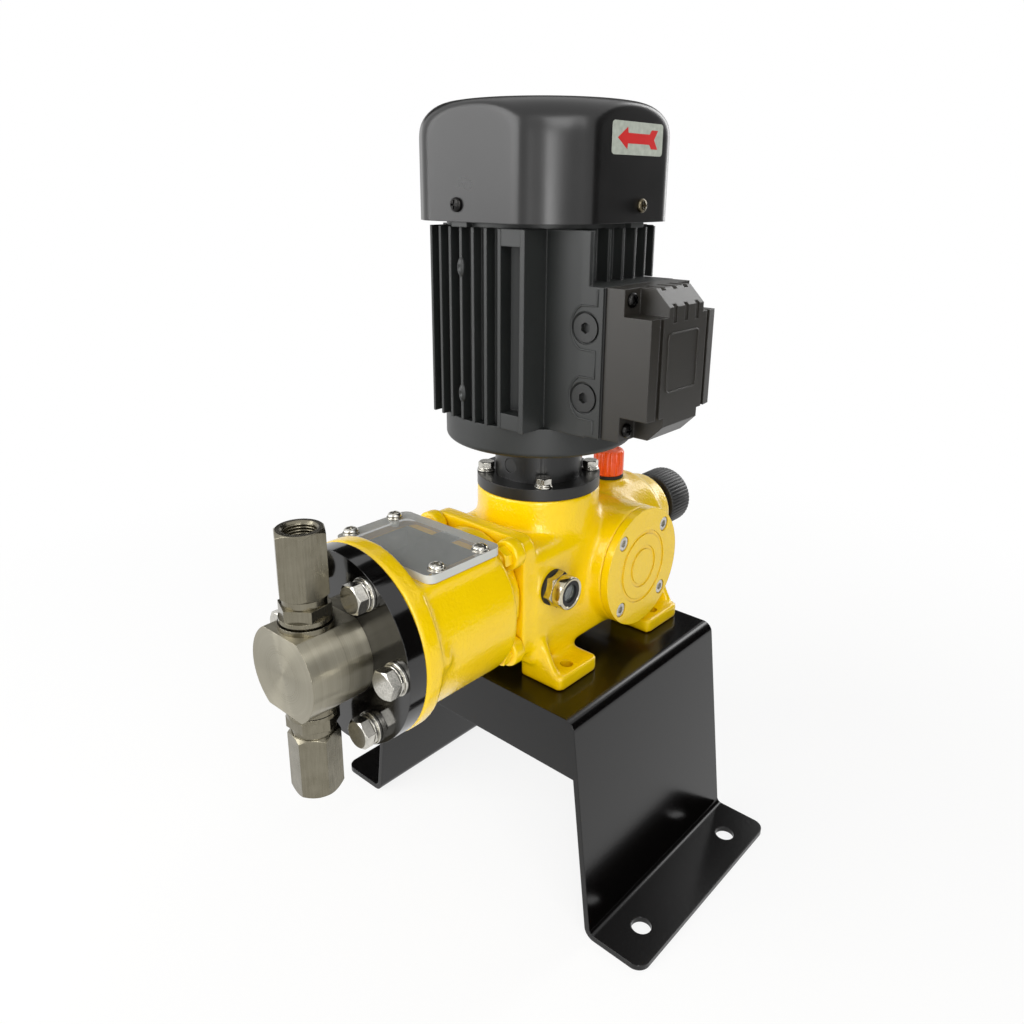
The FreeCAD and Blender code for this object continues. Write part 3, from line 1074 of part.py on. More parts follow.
def make_plunger():
    button_x = ROD_FRONT_X - BUTTON_THICKNESS
    save("plunger", joined([
        x_rod(PLUNGER_TIP_X, ROD_FRONT_X, PLUNGER_RADIUS),
        x_rod(button_x, ROD_FRONT_X, BUTTON_RADIUS),
    ]))
    nut_x = button_x - COUPLING_WALL
    nut = hexagon(point(nut_x, 0, PLUNGER_Z), X_AXIS * COUPLING_LENGTH, COUPLING_FLATS)
    save("plunger_coupling_nut", nut.cut([
        x_rod(nut_x - 1, nut_x + COUPLING_LENGTH + 1, PLUNGER_RADIUS + RUNNING_FIT),
        x_rod(button_x, ROD_FRONT_X, BUTTON_RADIUS + RUNNING_FIT),
        x_rod(ROD_FRONT_X, nut_x + COUPLING_LENGTH + 1, ROD_RADIUS + RUNNING_FIT),
    ]))
    rings = []
    for k in range(PACKING_COUNT):
        start = STUFFING_FRONT_X + k * PACKING_WIDTH
        rings.append(x_tube(start, start + PACKING_WIDTH, STUFFING_RADIUS - 0.05,
                            PLUNGER_RADIUS + RUNNING_FIT))
    save("packing_rings", *rings)
    follower_x = STUFFING_FRONT_X + PACKING_COUNT * PACKING_WIDTH
    nut_start = TAIL_END_X - GLAND_NUT_LENGTH + 8.0
    nut_inner_end = nut_start + GLAND_NUT_LENGTH - GLAND_NUT_WALL
    save("gland_follower",
         x_tube(follower_x, nut_inner_end, STUFFING_RADIUS - 0.05, PLUNGER_RADIUS + RUNNING_FIT))
    gland = x_rod(nut_start, nut_start + GLAND_NUT_LENGTH, GLAND_NUT_RADIUS)
    slots = [
        x_rod(nut_start - 1, nut_inner_end, TAIL_RADIUS + RUNNING_FIT),
        x_rod(nut_start, nut_start + GLAND_NUT_LENGTH + 1, PLUNGER_RADIUS + 1.5),
    ]
    for sign in (-1, 1):
        floor_z = PLUNGER_Z + sign * (GLAND_NUT_RADIUS - 2.5)
        rim_z = PLUNGER_Z + sign * (GLAND_NUT_RADIUS + 1)
        slots.append(block(nut_start + 8, nut_start + 15, -2.5, 2.5, floor_z, rim_z))
    save("gland_nut", gland.cut(slots))


# Check valves: the discharge valve above the head and the suction valve below it

def chamfered_hex(low, high, flats, turn):
    """A hexagonal bar along Z whose corners are turned off in a cone at both ends."""
    reach = flats / math.sqrt(3)
    bar = hexagon(point(VALVE_X, 0, low), Z_AXIS * (high - low), flats, turn)
    profile = [
        (0.0, low, 0), (flats / 2 - 0.4, low, 0), (reach + 0.2, low + VALVE_CHAMFER, 0),
        (reach + 0.2, high - VALVE_CHAMFER, 0), (flats / 2 - 0.4, high, 0), (0.0, high, 0),
    ]
    cone = turned(profile, lambda a, b: point(VALVE_X + a, 0, b), point(VALVE_X, 0, 0), Z_AXIS)
    return bar.common(cone)


def valve_rod(sign, start, end, radius):
    return z_rod(PLUNGER_Z + sign * start, PLUNGER_Z + sign * end, radius, VALVE_X)


def valve_adapter(sign, turn):
    hex_start = point(VALVE_X, 0, PLUNGER_Z + sign * VALVE_STUB_END)
    hex_length = ADAPTER_HEX_END - VALVE_STUB_END
    adapter = joined([
        valve_rod(sign, ADAPTER_THREAD_START, VALVE_STUB_END, VALVE_THREAD_RADIUS),
        valve_rod(sign, HEAD_FLAT, HEAD_FLAT + 3.2, VALVE_STUB_RADIUS),
        valve_rod(sign, HEAD_FLAT + 4.4, VALVE_STUB_END, VALVE_STUB_RADIUS - 0.8),
        hexagon(hex_start, Z_AXIS * (sign * hex_length), VALVE_HEX, turn + 8.0),
    ])
    return adapter.cut(valve_rod(sign, ADAPTER_THREAD_START - 1, ADAPTER_HEX_END + 1, VALVE_PASSAGE_RADIUS))


def valve_body(sign, turn):
    low, high = sorted((PLUNGER_Z + sign * VALVE_COLLAR_END, PLUNGER_Z + sign * VALVE_END))
    body = joined([
        valve_rod(sign, ADAPTER_HEX_END, VALVE_COLLAR_END + 1, VALVE_COLLAR_RADIUS),
        chamfered_hex(low, high, VALVE_HEX, turn),
    ])
    port_start = VALVE_END - PORT_DEPTH
    mouth = Part.makeCone(PORT_RADIUS, PORT_RADIUS + PORT_CHAMFER, PORT_CHAMFER,
                          point(VALVE_X, 0, PLUNGER_Z + sign * (VALVE_END - PORT_CHAMFER)), Z_AXIS * sign)
    return body.cut([
        valve_rod(sign, ADAPTER_HEX_END - 1, port_start + 1, VALVE_PASSAGE_RADIUS),
        valve_rod(sign, VALVE_CHAMBER_START, VALVE_CHAMBER_END, VALVE_CHAMBER_RADIUS),
        valve_rod(sign, port_start, VALVE_END + 1, PORT_RADIUS),
        mouth,
    ])


def make_valves():
    """Both valves lift upwards, so each seat is at the bottom of its chamber."""
    adapters = []
    seats = []
    rest = math.sqrt(BALL_RADIUS ** 2 - VALVE_PASSAGE_RADIUS ** 2)
    for name, sign, turn in (("discharge", 1, 0.0), ("suction", -1, 20.0)):
        adapters.append(valve_adapter(sign, turn))
        save(name + "_valve_body", valve_body(sign, turn))
        low = PLUNGER_Z + min(sign * VALVE_CHAMBER_START, sign * VALVE_CHAMBER_END)
        seats.append(z_tube(low, low + SEAT_THICKNESS, VALVE_CHAMBER_RADIUS - 0.05,
                            VALVE_PASSAGE_RADIUS, VALVE_X))
        ball_z = low + SEAT_THICKNESS + rest + RUNNING_FIT
        save(name + "_valve_ball", Part.makeSphere(BALL_RADIUS, point(VALVE_X, 0, ball_z)))
    save("valve_adapters", *adapters)
    save("valve_seats", *seats)


# Motor adapter flange and its bolts

def make_motor_adapter():
    inner = ADAPTER_BORE_RADIUS
    adapter = joined([
        z_rod(NECK_TOP_Z, ADAPTER_TOP_Z, ADAPTER_RADIUS),
        z_rod(NECK_TOP_Z - ADAPTER_SPIGOT_DEPTH, NECK_TOP_Z, NECK_BORE_RADIUS - 0.1),
        z_rod(ADAPTER_TOP_Z, BELL_Z, ADAPTER_NECK_RADIUS),
    ])
    cuts = [z_rod(NECK_TOP_Z - ADAPTER_SPIGOT_DEPTH - 1, BELL_Z + 1, inner)]
    bolts = []
    washers = []
    washer_top = ADAPTER_TOP_Z + ADAPTER_WASHER_THICKNESS
    for x, y in adapter_bolt_places():
        cuts.append(z_rod(NECK_TOP_Z - 1, ADAPTER_TOP_Z + 1, ADAPTER_BOLT_RADIUS + 0.4, x, y))
        cuts.append(z_rod(ADAPTER_TOP_Z, BELL_Z - 6.0, ADAPTER_WASHER_RADIUS + 0.6, x, y))
        washers.append(z_tube(ADAPTER_TOP_Z, washer_top, ADAPTER_WASHER_RADIUS,
                              ADAPTER_BOLT_RADIUS + 0.2, x, y))
        head = hexagon(point(x, y, washer_top), Z_AXIS * ADAPTER_BOLT_HEAD, ADAPTER_BOLT_FLATS)
        stem = z_rod(NECK_TOP_Z - ADAPTER_BOLT_DEPTH, washer_top, ADAPTER_BOLT_RADIUS, x, y)
        bolts.append(joined([head, stem]))
    cuts.append(x_rod(NECK_PLUG_X - 1, NECK_PLUG_X + NECK_PLUG_DEPTH, NECK_PLUG_RADIUS, 0, NECK_PLUG_Z))
    save("motor_adapter", adapter.cut(cuts))
    save("motor_adapter_bolts", *bolts, *washers)


# Motor housing

def crowned_square(low, high, reach, corner_radius):
    """A square prism about the motor's axis whose sides bulge slightly, as the fin tips do."""
    half = FIN_CROWN_AT
    side = reach - FIN_CROWN
    edges = []
    for k in range(4):
        turn = FreeCAD.Rotation(Z_AXIS, 90 * k)
        centre = point(MOTOR_X, 0, low)
        start = centre + turn.multVec(point(side, -half, 0))
        crown = centre + turn.multVec(point(reach, 0, 0))
        end = centre + turn.multVec(point(side, half, 0))
        following = centre + FreeCAD.Rotation(Z_AXIS, 90 * (k + 1)).multVec(point(side, -half, 0))
        edges.append(Part.Arc(start, crown, end).toShape())
        edges.append(Part.LineSegment(end, following).toShape())
    square = Part.Face(Part.Wire(edges)).extrude(Z_AXIS * (high - low))
    return square.common(z_rod(low, high, corner_radius))


def make_motor_frame():
    low = BELL_TOP_Z
    high = FRAME_TOP_Z
    core = z_rod(low, high, FRAME_CORE_RADIUS)
    fins = []
    half_fin = FIN_THICKNESS / 2
    for k in range(FIN_COUNT):
        y = FIN_FIRST_Y + k * FIN_PITCH
        fins.append(block(MOTOR_X - FIN_REACH, MOTOR_X + FIN_REACH, y - half_fin, y + half_fin, low, high))
        x = MOTOR_X + SIDE_FIN_FIRST + k * SIDE_FIN_PITCH
        fins.append(block(x - half_fin, x + half_fin, 0, FIN_REACH, low, high))
        fins.append(block(x - half_fin, x + half_fin, -FIN_REACH, 0, BOX_HIGH_Z - 1, high))
    fins.append(block(MOTOR_X, MOTOR_X + FIN_REACH, RAIL_Y, RAIL_Y + RAIL_THICKNESS, low, high))
    body = joined([core] + fins)
    body = body.common(crowned_square(low, high, FIN_REACH, FIN_REACH * 1.14))
    column = block(FRAME_FLAT_X, FRAME_FLAT_X + CORNER_COLUMN_THICKNESS, CORNER_COLUMN_Y, RAIL_Y, low, high)
    rail = block(MOTOR_X - FIN_REACH, FRAME_FLAT_X + 4.0, RAIL_Y, RAIL_Y + RAIL_THICKNESS, low, high)
    pads = []
    for pad_z in (low, high - FOOT_PAD_LENGTH):
        pads.append(block(MOTOR_X - FIN_REACH + 1.6, FRAME_FLAT_X + 6.0, RAIL_Y, FIN_FIRST_Y,
                          pad_z, pad_z + FOOT_PAD_LENGTH))
    box = block(FRAME_FLAT_X, BOX_FAR_X, BOX_FACE_Y, BOX_ROOT_Y, BOX_LOW_Z, BOX_HIGH_Z)
    box_room = block(FRAME_FLAT_X + BOX_WALL, BOX_FAR_X - BOX_WALL, BOX_FACE_Y - 1, BOX_BACK_Y,
                     BOX_LOW_Z + BOX_WALL, BOX_HIGH_Z - BOX_WALL)
    frame = joined([body, column, rail, box] + pads)
    cuts = [box_room, z_rod(low - 1, high + 1, FRAME_BORE_RADIUS)]
    for z in (PLUG_LOW_Z, PLUG_HIGH_Z):
        cuts.append(x_rod(FRAME_FLAT_X - 1, FRAME_FLAT_X + BOX_WALL + 1, PLUG_RADIUS + RUNNING_FIT,
                          PLUG_Y, z))
        cuts.append(x_rod(FRAME_FLAT_X - 1, FRAME_FLAT_X + PLUG_HEAD_THICKNESS,
                          PLUG_HEAD_RADIUS + PLUG_RECESS_GAP, PLUG_Y, z))
    for x, z in lid_screw_places():
        cuts.append(y_rod(BOX_FACE_Y - 1, BOX_FACE_Y + 10.0, 2.5 + RUNNING_FIT, x, z))
    save("motor_frame", frame.cut(cuts))
    plugs = []
    for z in (PLUG_LOW_Z, PLUG_HIGH_Z):
        head_x = FRAME_FLAT_X
        plug = joined([
            x_rod(head_x, head_x + PLUG_HEAD_THICKNESS, PLUG_HEAD_RADIUS, PLUG_Y, z),
            x_rod(head_x + PLUG_HEAD_THICKNESS, FRAME_FLAT_X + BOX_WALL + 2.0, PLUG_RADIUS, PLUG_Y, z),
        ])
        plugs.append(plug.cut(hexagon(point(head_x - 1, PLUG_Y, z), X_AXIS * 4.0, 6.0)))
    plugs.append(x_rod(NECK_PLUG_X + 0.6, NECK_PLUG_X + NECK_PLUG_DEPTH, NECK_PLUG_RADIUS - 0.05,
                       0, NECK_PLUG_Z))
    save("blanking_plugs", *plugs)


def lid_screw_places():
    places = []
    for x in (LID_NEAR_X + LID_SCREW_INSET_X, LID_FAR_X - LID_SCREW_INSET_X):
        for z in (BOX_LOW_Z + LID_SCREW_INSET_Z, BOX_HIGH_Z - LID_SCREW_INSET_Z):
            places.append((x, z))
    return places


def make_terminal_lid():
    seal_y = BOX_FACE_Y - LID_SEAL_THICKNESS
    front_y = BOX_FACE_Y - LID_DEPTH
    ledge_y = seal_y - LID_LEDGE
    gasket = block(FRAME_FLAT_X + 1.0, BOX_FAR_X - 1.0, BOX_FACE_Y, seal_y,
                   BOX_LOW_Z + 0.5, BOX_HIGH_Z - 0.5)
    inner = block(LID_NEAR_X + 11, LID_FAR_X - 11, BOX_FACE_Y + 1, seal_y - 1,
                  BOX_LOW_Z + 14, BOX_HIGH_Z - 14)
    holes = [y_rod(seal_y - LID_LEDGE - 1, BOX_FACE_Y + 1, 2.8, x, z) for x, z in lid_screw_places()]
    save("lid_gasket", gasket.cut([inner] + holes))
    depth = [
        (LID_NEAR_X, seal_y, 0), (LID_FAR_X, seal_y, 0), (LID_FAR_X, front_y + LID_CROWN, 0),
        (LID_FAR_X - LID_CHAMFER, front_y, 0), (LID_NEAR_X + LID_CHAMFER, front_y, 0),
        (LID_NEAR_X, front_y + LID_CROWN, 0),
    ]
    lid = prism(depth, lambda a, b: point(a, b, BOX_LOW_Z), Z_AXIS * (BOX_HIGH_Z - BOX_LOW_Z))
    face = prism(
        [(LID_NEAR_X, BOX_LOW_Z + LID_CHAMFER, 0), (LID_NEAR_X + LID_CHAMFER, BOX_LOW_Z, 0),
         (LID_FAR_X - LID_CHAMFER, BOX_LOW_Z, 0), (LID_FAR_X, BOX_LOW_Z + LID_CHAMFER, 0),
         (LID_FAR_X, BOX_HIGH_Z - LID_CHAMFER, 0), (LID_FAR_X - LID_CHAMFER, BOX_HIGH_Z, 0),
         (LID_NEAR_X + LID_CHAMFER, BOX_HIGH_Z, 0), (LID_NEAR_X, BOX_HIGH_Z - LID_CHAMFER, 0)],
        lambda a, b: point(a, seal_y, b), Y_AXIS * (front_y - seal_y))
    base = block(LID_NEAR_X, LID_FAR_X, seal_y, ledge_y, BOX_LOW_Z, BOX_HIGH_Z)
    lid = lid.common(joined([face, base]))
    side_profile = [
        (seal_y, BOX_LOW_Z, 0),
        (front_y + LID_CHAMFER, BOX_LOW_Z, 0), (front_y, BOX_LOW_Z + LID_CHAMFER, 0),
        (front_y, BOX_HIGH_Z - LID_CHAMFER, 0), (front_y + LID_CHAMFER, BOX_HIGH_Z, 0),
        (seal_y, BOX_HIGH_Z, 0),
    ]
    lid = lid.common(prism(side_profile, lambda a, b: point(LID_NEAR_X, a, b),
                           X_AXIS * (LID_FAR_X - LID_NEAR_X)))
    cuts = []
    screws = []
    for x, z in lid_screw_places():
        sx = -1 if x < (LID_NEAR_X + LID_FAR_X) / 2 else 1
        sz = -1 if z < (BOX_LOW_Z + BOX_HIGH_Z) / 2 else 1
        edge_x = LID_NEAR_X if sx < 0 else LID_FAR_X
        edge_z = BOX_LOW_Z if sz < 0 else BOX_HIGH_Z
        cuts.append(block(edge_x + sx, edge_x - sx * LID_POCKET_X, ledge_y, front_y - 1,
                          edge_z + sz, edge_z - sz * LID_POCKET_Z))
        cuts.append(y_rod(ledge_y - 1, BOX_FACE_Y, 2.8, x, z))
        head = y_rod(ledge_y, ledge_y - 3.4, 4.6, x, z)
        screws.append(joined([head, y_rod(ledge_y, BOX_FACE_Y + 9.0, 2.5, x, z)]))
    room = block(LID_NEAR_X + LID_POCKET_X + 2, LID_FAR_X - LID_POCKET_X - 2, seal_y + 1, front_y + 4.0,
                 BOX_LOW_Z + LID_POCKET_Z + 2, BOX_HIGH_Z - LID_POCKET_Z - 2)
    groove_low = BOX_LOW_Z + 13.0
    for x in (LID_NEAR_X + 9.4, LID_FAR_X - 9.4):
        cuts.append(block(x - 1.8, x + 1.8, front_y - 1, front_y + 2.4, groove_low, BOX_HIGH_Z + 1))
    middle = (LID_NEAR_X + LID_FAR_X) / 2
    for k in (-1, 0, 1):
        x = middle + k * LID_RIB_PITCH
        cuts.append(block(x - 2.0, x + 2.0, front_y - 1, front_y + LID_RIB_RISE,
                          BOX_HIGH_Z - 19.0, BOX_HIGH_Z + 1))
        slope = block(x - 2.0, x + 2.0, front_y - 2, BOX_FACE_Y - 12, BOX_HIGH_Z - 1.4, BOX_HIGH_Z + 1)
        cuts.append(slope)
    save("terminal_lid", lid.cut(cuts + [room]))
    board_back = BOX_BACK_Y
    board = block(middle - 20, middle + 20, board_back, board_back - 8.0, BOX_LOW_Z + 28, BOX_HIGH_Z - 30)
    posts = []
    for row in (-1, 1):
        for k in (-1, 0, 1):
            posts.append(y_rod(board_back - 7.0, board_back - 18.0, 2.0, middle + 12.5 * k,
                               (BOX_LOW_Z + BOX_HIGH_Z) / 2 + 6.5 * row))
    save("terminal_block", joined([board] + posts))
    return screws


def make_bells():
    low = BELL_Z
    bore = ROTOR_SHAFT_RADIUS + 3.0
    shell = turned(
        [(0, low, 0), (BELL_RADIUS, low, 3.5), (BELL_RADIUS, BELL_TOP_Z, 0), (0, BELL_TOP_Z, 0)],
        lambda a, b: point(MOTOR_X + a, 0, b), point(MOTOR_X, 0, 0), Z_AXIS)
    hub_radius = MOTOR_BEARING_RADIUS + 5.0
    room = z_tube(low + BELL_WALL, BELL_TOP_Z + 1, FRAME_BORE_RADIUS - 4.0, hub_radius)
    spigot = z_tube(BELL_TOP_Z - 1, BELL_TOP_Z + 4.0, FRAME_BORE_RADIUS - 0.1, FRAME_BORE_RADIUS - 4.0)
    bell = joined([shell.cut(room), spigot])
    bell = bell.cut([z_rod(low - 1, BELL_TOP_Z + 5, bore),
                     z_rod(BELL_SEAT_Z, BELL_TOP_Z + 5, MOTOR_BEARING_RADIUS + RUNNING_FIT)])
    save("lower_end_bell", bell)
    top = FRAME_TOP_Z
    plate = z_rod(top, top + UPPER_BELL_HEIGHT, FRAME_CORE_RADIUS + 4.0)
    hub = z_rod(UPPER_SEAT_Z, top, hub_radius)
    lip = z_tube(top - 4.0, top, FRAME_BORE_RADIUS - 0.1, FRAME_BORE_RADIUS - 4.0)
    lugs = []
    holes = []
    half_lug = COWL_LUG_WIDTH / 2
    for centre, out in cowl_screw_places():
        side = Z_AXIS.cross(out) * half_lug
        near = centre + out * (FRAME_CORE_RADIUS - 1.0) - side
        far = centre + out * (COWL_PANEL_REACH - COWL_SHEET) + side
        lugs.append(block(near.x, far.x, near.y, far.y, top, COWL_SCREW_Z + half_lug))
        holes.append(Part.makeCylinder(COWL_SCREW_RADIUS + RUNNING_FIT, COWL_RADIUS, centre, out))
    upper = joined([plate, hub, lip] + lugs).cut(holes + [
        z_rod(UPPER_SEAT_Z - 1, UPPER_SEAT_Z + MOTOR_BEARING_WIDTH, MOTOR_BEARING_RADIUS + RUNNING_FIT),
        z_rod(UPPER_SEAT_Z - 1, top + UPPER_BELL_HEIGHT + 1, FAN_SHAFT_RADIUS + 2.0),
    ])
    save("upper_end_bell", upper)


def make_rotor():
    stator_top = STATOR_Z + STATOR_LENGTH
    save("stator_core", z_tube(STATOR_Z, stator_top, FRAME_BORE_RADIUS - 0.05, STATOR_BORE_RADIUS))
    save("stator_windings",
         z_tube(STATOR_Z - WINDING_HEIGHT, STATOR_Z, FRAME_BORE_RADIUS - 6.0, STATOR_BORE_RADIUS + 2.0),
         z_tube(stator_top, stator_top + WINDING_HEIGHT, FRAME_BORE_RADIUS - 6.0, STATOR_BORE_RADIUS + 2.0))
    low = INNER_LOW_Z + 1.0
    worm_top = WORM_CENTRE_Z + WORM_LENGTH / 2
    shaft = joined([
        z_rod(low, worm_top + 1, SHAFT_RADIUS),
        z_rod(worm_top, FRAME_TOP_Z - 14.0, ROTOR_SHAFT_RADIUS),
        z_rod(FRAME_TOP_Z - 16.0, FAN_Z + FAN_HEIGHT - 6.0, FAN_SHAFT_RADIUS),
    ])
    save("motor_shaft", shaft)
    save("rotor_core", z_tube(STATOR_Z - 2, stator_top + 2, ROTOR_RADIUS, ROTOR_SHAFT_RADIUS + RUNNING_FIT))
    hub = z_rod(FAN_Z, FAN_Z + FAN_HEIGHT, FAN_HUB_RADIUS)
    disc = z_rod(FAN_Z, FAN_Z + 2.5, FAN_RADIUS)
    blades = []
    for k in range(FAN_BLADES):
        blade = block(MOTOR_X + FAN_HUB_RADIUS - 2, MOTOR_X + FAN_RADIUS, -1.1, 1.1,
                      FAN_Z, FAN_Z + FAN_HEIGHT)
        blade.rotate(point(MOTOR_X, 0, 0), Z_AXIS, 360.0 * k / FAN_BLADES)
        blades.append(blade)
    fan = joined([hub, disc] + blades)
    save("fan", fan.cut(z_rod(FAN_Z - 1, FAN_Z + FAN_HEIGHT - 6.0, FAN_SHAFT_RADIUS + RUNNING_FIT)))


def cowl_solid(low, high, inset, shoulder):
    """The cowl's outer form: a domed cylinder pressed flat on four sides, with soft valleys between."""
    reach = COWL_PANEL_REACH - inset
    half = COWL_PANEL_HALF_WIDTH - inset
    valley = COWL_VALLEY_REACH - inset
    radius = COWL_RADIUS - inset
    outward = max(COWL_EDGE_RADIUS - inset, 0.5)
    inward = COWL_EDGE_RADIUS + inset
    column = math.sqrt(radius ** 2 - valley ** 2)
    ridge = radius / math.sqrt(2) + COWL_COLUMN_BULGE
    quarter = [
        (reach, half, outward), (valley, half, inward * 0.3), (valley, column, outward * 0.5),
        (ridge, ridge, 12.0),
        (column, valley, outward * 0.5), (half, valley, inward * 0.3), (half, reach, outward),
    ]
    corners = []
    for k in range(4):
        turn = FreeCAD.Rotation(Z_AXIS, 90 * k)
        for a, b, bend in quarter:
            turned_point = turn.multVec(point(a, b, 0))
            corners.append((turned_point.x, turned_point.y, bend))
    form = prism(corners, lambda a, b: point(MOTOR_X + a, b, low), Z_AXIS * (high - low))
    dome = turned(
        [(0, low - 1, 0), (radius, low - 1, 0), (radius, high, shoulder), (0, high, 0)],
        lambda a, b: point(MOTOR_X + a, 0, b), point(MOTOR_X, 0, 0), Z_AXIS)
    return form.common(dome)


def cowl_screw_places():
    """Foot points and outward directions of the four screws that hold the cowl, each off centre."""
    places = []
    for k in range(4):
        turn = FreeCAD.Rotation(Z_AXIS, 90 * k)
        offset = COWL_SCREW_OFFSET if k % 2 else -COWL_SCREW_OFFSET
        foot = point(MOTOR_X, 0, COWL_SCREW_Z) + turn.multVec(Y_AXIS) * offset
        places.append((foot, turn.multVec(X_AXIS)))
    return places


def make_cowl():
    outer = cowl_solid(COWL_Z, COWL_TOP_Z, 0.0, COWL_SHOULDER_RADIUS)
    inner = cowl_solid(COWL_Z - 1, COWL_TOP_Z - COWL_SHEET, COWL_SHEET, COWL_SHOULDER_RADIUS - COWL_SHEET)
    cuts = [inner]
    top = COWL_TOP_Z
    for ring in range(GRILLE_RINGS):
        middle = GRILLE_FIRST_RADIUS + ring * GRILLE_RING_PITCH
        band = z_tube(top - COWL_SHEET - 2, top + 1,
                      middle + GRILLE_SLOT_WIDTH / 2, middle - GRILLE_SLOT_WIDTH / 2)
        spokes = []
        for k in range(GRILLE_SLOTS):
            spoke = block(MOTOR_X, MOTOR_X + COWL_RADIUS, -2.2, 2.2, top - COWL_SHEET - 3, top + 2)
            spoke.rotate(point(MOTOR_X, 0, 0), Z_AXIS, 360.0 * k / GRILLE_SLOTS)
            spokes.append(spoke)
        cuts.append(band.cut(spokes))
    cowl = outer.cut(cuts)
    screws = []
    holes = []
    for centre, out in cowl_screw_places():
        seat = centre + out * COWL_PANEL_REACH
        holes.append(Part.makeCylinder(COWL_SCREW_RADIUS + CLEARANCE, 2 * COWL_SHEET, seat, out * -1))
        head = Part.makeCylinder(4.4, 2.8, seat, out)
        stem = Part.makeCylinder(COWL_SCREW_RADIUS, COWL_SCREW_LENGTH, seat, out * -1)
        screws.append(joined([head, stem]))
    save("fan_cowl", cowl.cut(holes))
    return screws


os.makedirs("parts", exist_ok=True)
make_stand()
make_gearbox()
make_side_covers()
make_sight_glass()
make_filler_cap()
make_stroke_adjuster()
make_worm_wheel()
make_worm()
make_wheel_shaft()
make_yoke()
make_push_rod()
make_lantern()
make_window()
make_pump_flange()
make_pump_head()
make_plunger()
make_valves()
make_motor_adapter()
make_motor_frame()
lid_screws = make_terminal_lid()
make_bells()
make_rotor()
make_bearings()
cowl_screws = make_cowl()
save("motor_cover_screws", *lid_screws, *cowl_screws)
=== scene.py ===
# %% [markdown]
# # A plunger metering pump, dressed for a studio picture
# The real pump is a vertical motor on a yellow cast gearbox, with a yellow lantern, a black polished
# flange and a stainless pump head in front, all on a black bent-sheet stand. The measured model comes in
# as a frame that never moves. The lesson gives each part of it the form and the finish of the real one.

import math

import bmesh
import bpy
import numpy as np
from mathutils import Euler, Matrix, Vector
from mathutils.bvhtree import BVHTree


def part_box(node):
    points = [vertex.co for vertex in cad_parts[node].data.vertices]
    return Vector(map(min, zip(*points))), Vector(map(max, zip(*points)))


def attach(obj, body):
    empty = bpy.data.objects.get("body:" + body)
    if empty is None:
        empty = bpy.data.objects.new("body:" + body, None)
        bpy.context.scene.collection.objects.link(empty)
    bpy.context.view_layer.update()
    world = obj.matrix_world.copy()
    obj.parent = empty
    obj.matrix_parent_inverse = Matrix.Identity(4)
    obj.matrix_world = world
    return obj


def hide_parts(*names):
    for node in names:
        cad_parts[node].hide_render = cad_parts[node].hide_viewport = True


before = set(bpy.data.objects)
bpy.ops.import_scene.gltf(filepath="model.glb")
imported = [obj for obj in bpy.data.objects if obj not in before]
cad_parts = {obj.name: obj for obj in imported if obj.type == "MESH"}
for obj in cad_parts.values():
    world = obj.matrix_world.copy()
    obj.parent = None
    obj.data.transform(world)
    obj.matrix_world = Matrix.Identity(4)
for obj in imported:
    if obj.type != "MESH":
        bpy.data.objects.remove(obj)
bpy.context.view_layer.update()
MM = 0.001


def placed(name, data):
    """A new object in the scene that holds some data."""
    made = bpy.data.objects.new(name, data)
    bpy.context.scene.collection.objects.link(made)
    return made


# %% [markdown]
# ## Camera
# The photograph was taken from the pump head's side, a little above and quite near, with a wide lens. A
# fit to the photograph placed the camera. Azimuth, elevation and roll give its three directions.

# %% Place the camera
CAMERA_PLACE = Vector((-460.85, -369.12, 488.33)) * MM
CAMERA_AZIMUTH = math.radians(-48.39)
CAMERA_ELEVATION = math.radians(17.63)
CAMERA_ROLL = math.radians(0.39)
CAMERA_LENS_MM = 29.70
CAMERA_SHIFT = (-0.0005, -0.0551)

camera = placed("camera", bpy.data.cameras.new("camera"))
back = Vector((
    math.sin(CAMERA_AZIMUTH) * math.cos(CAMERA_ELEVATION),
    -math.cos(CAMERA_AZIMUTH) * math.cos(CAMERA_ELEVATION),
    math.sin(CAMERA_ELEVATION)))
right = (-back).cross(Vector((0, 0, 1))).normalized()
up = right.cross(-back)
rolled_right = right * math.cos(CAMERA_ROLL) + up * math.sin(CAMERA_ROLL)
rolled_up = up * math.cos(CAMERA_ROLL) - right * math.sin(CAMERA_ROLL)
turn = Matrix((rolled_right, rolled_up, back)).transposed()
camera.matrix_world = Matrix.Translation(CAMERA_PLACE) @ turn.to_4x4()
camera.data.lens = CAMERA_LENS_MM
camera.data.sensor_width = 36.0
camera.data.shift_x, camera.data.shift_y = CAMERA_SHIFT
camera.data.clip_start = 0.01
bpy.context.scene.camera = camera
bpy.context.scene.view_settings.view_transform = "Standard"
print("camera looks along", tuple(round(v, 3) for v in -back))

# %% [markdown]
# ## Tools for node trees
# Colours are the hex codes of a paint chart, turned to linear light by one function. Another adds every
# node of every tree. A socket takes a plain value, a hex colour, another socket, or a node, which stands
# for the first output it shows.

# %% Colour and node helpers
def linear(code):
    """A hex colour such as "f2b705" as linear red, green, blue, alpha."""
    parts = [int(code[k:k + 2], 16) / 255 for k in (0, 2, 4)]
    return tuple(v / 12.92 if v <= 0.04045 else ((v + 0.055) / 1.055) ** 2.4 for v in parts) + (1.0,)


def feed(node, inputs):
    """Links or sets the inputs of a node, by name or number."""
    for name, value in inputs.items():
        if isinstance(value, bpy.types.Node):
            value = next(out for out in value.outputs if out.enabled)
        if isinstance(value, bpy.types.NodeSocket):
            node.id_data.links.new(value, node.inputs[name])
        else:
            node.inputs[name].default_value = linear(value) if isinstance(value, str) else value
    return node


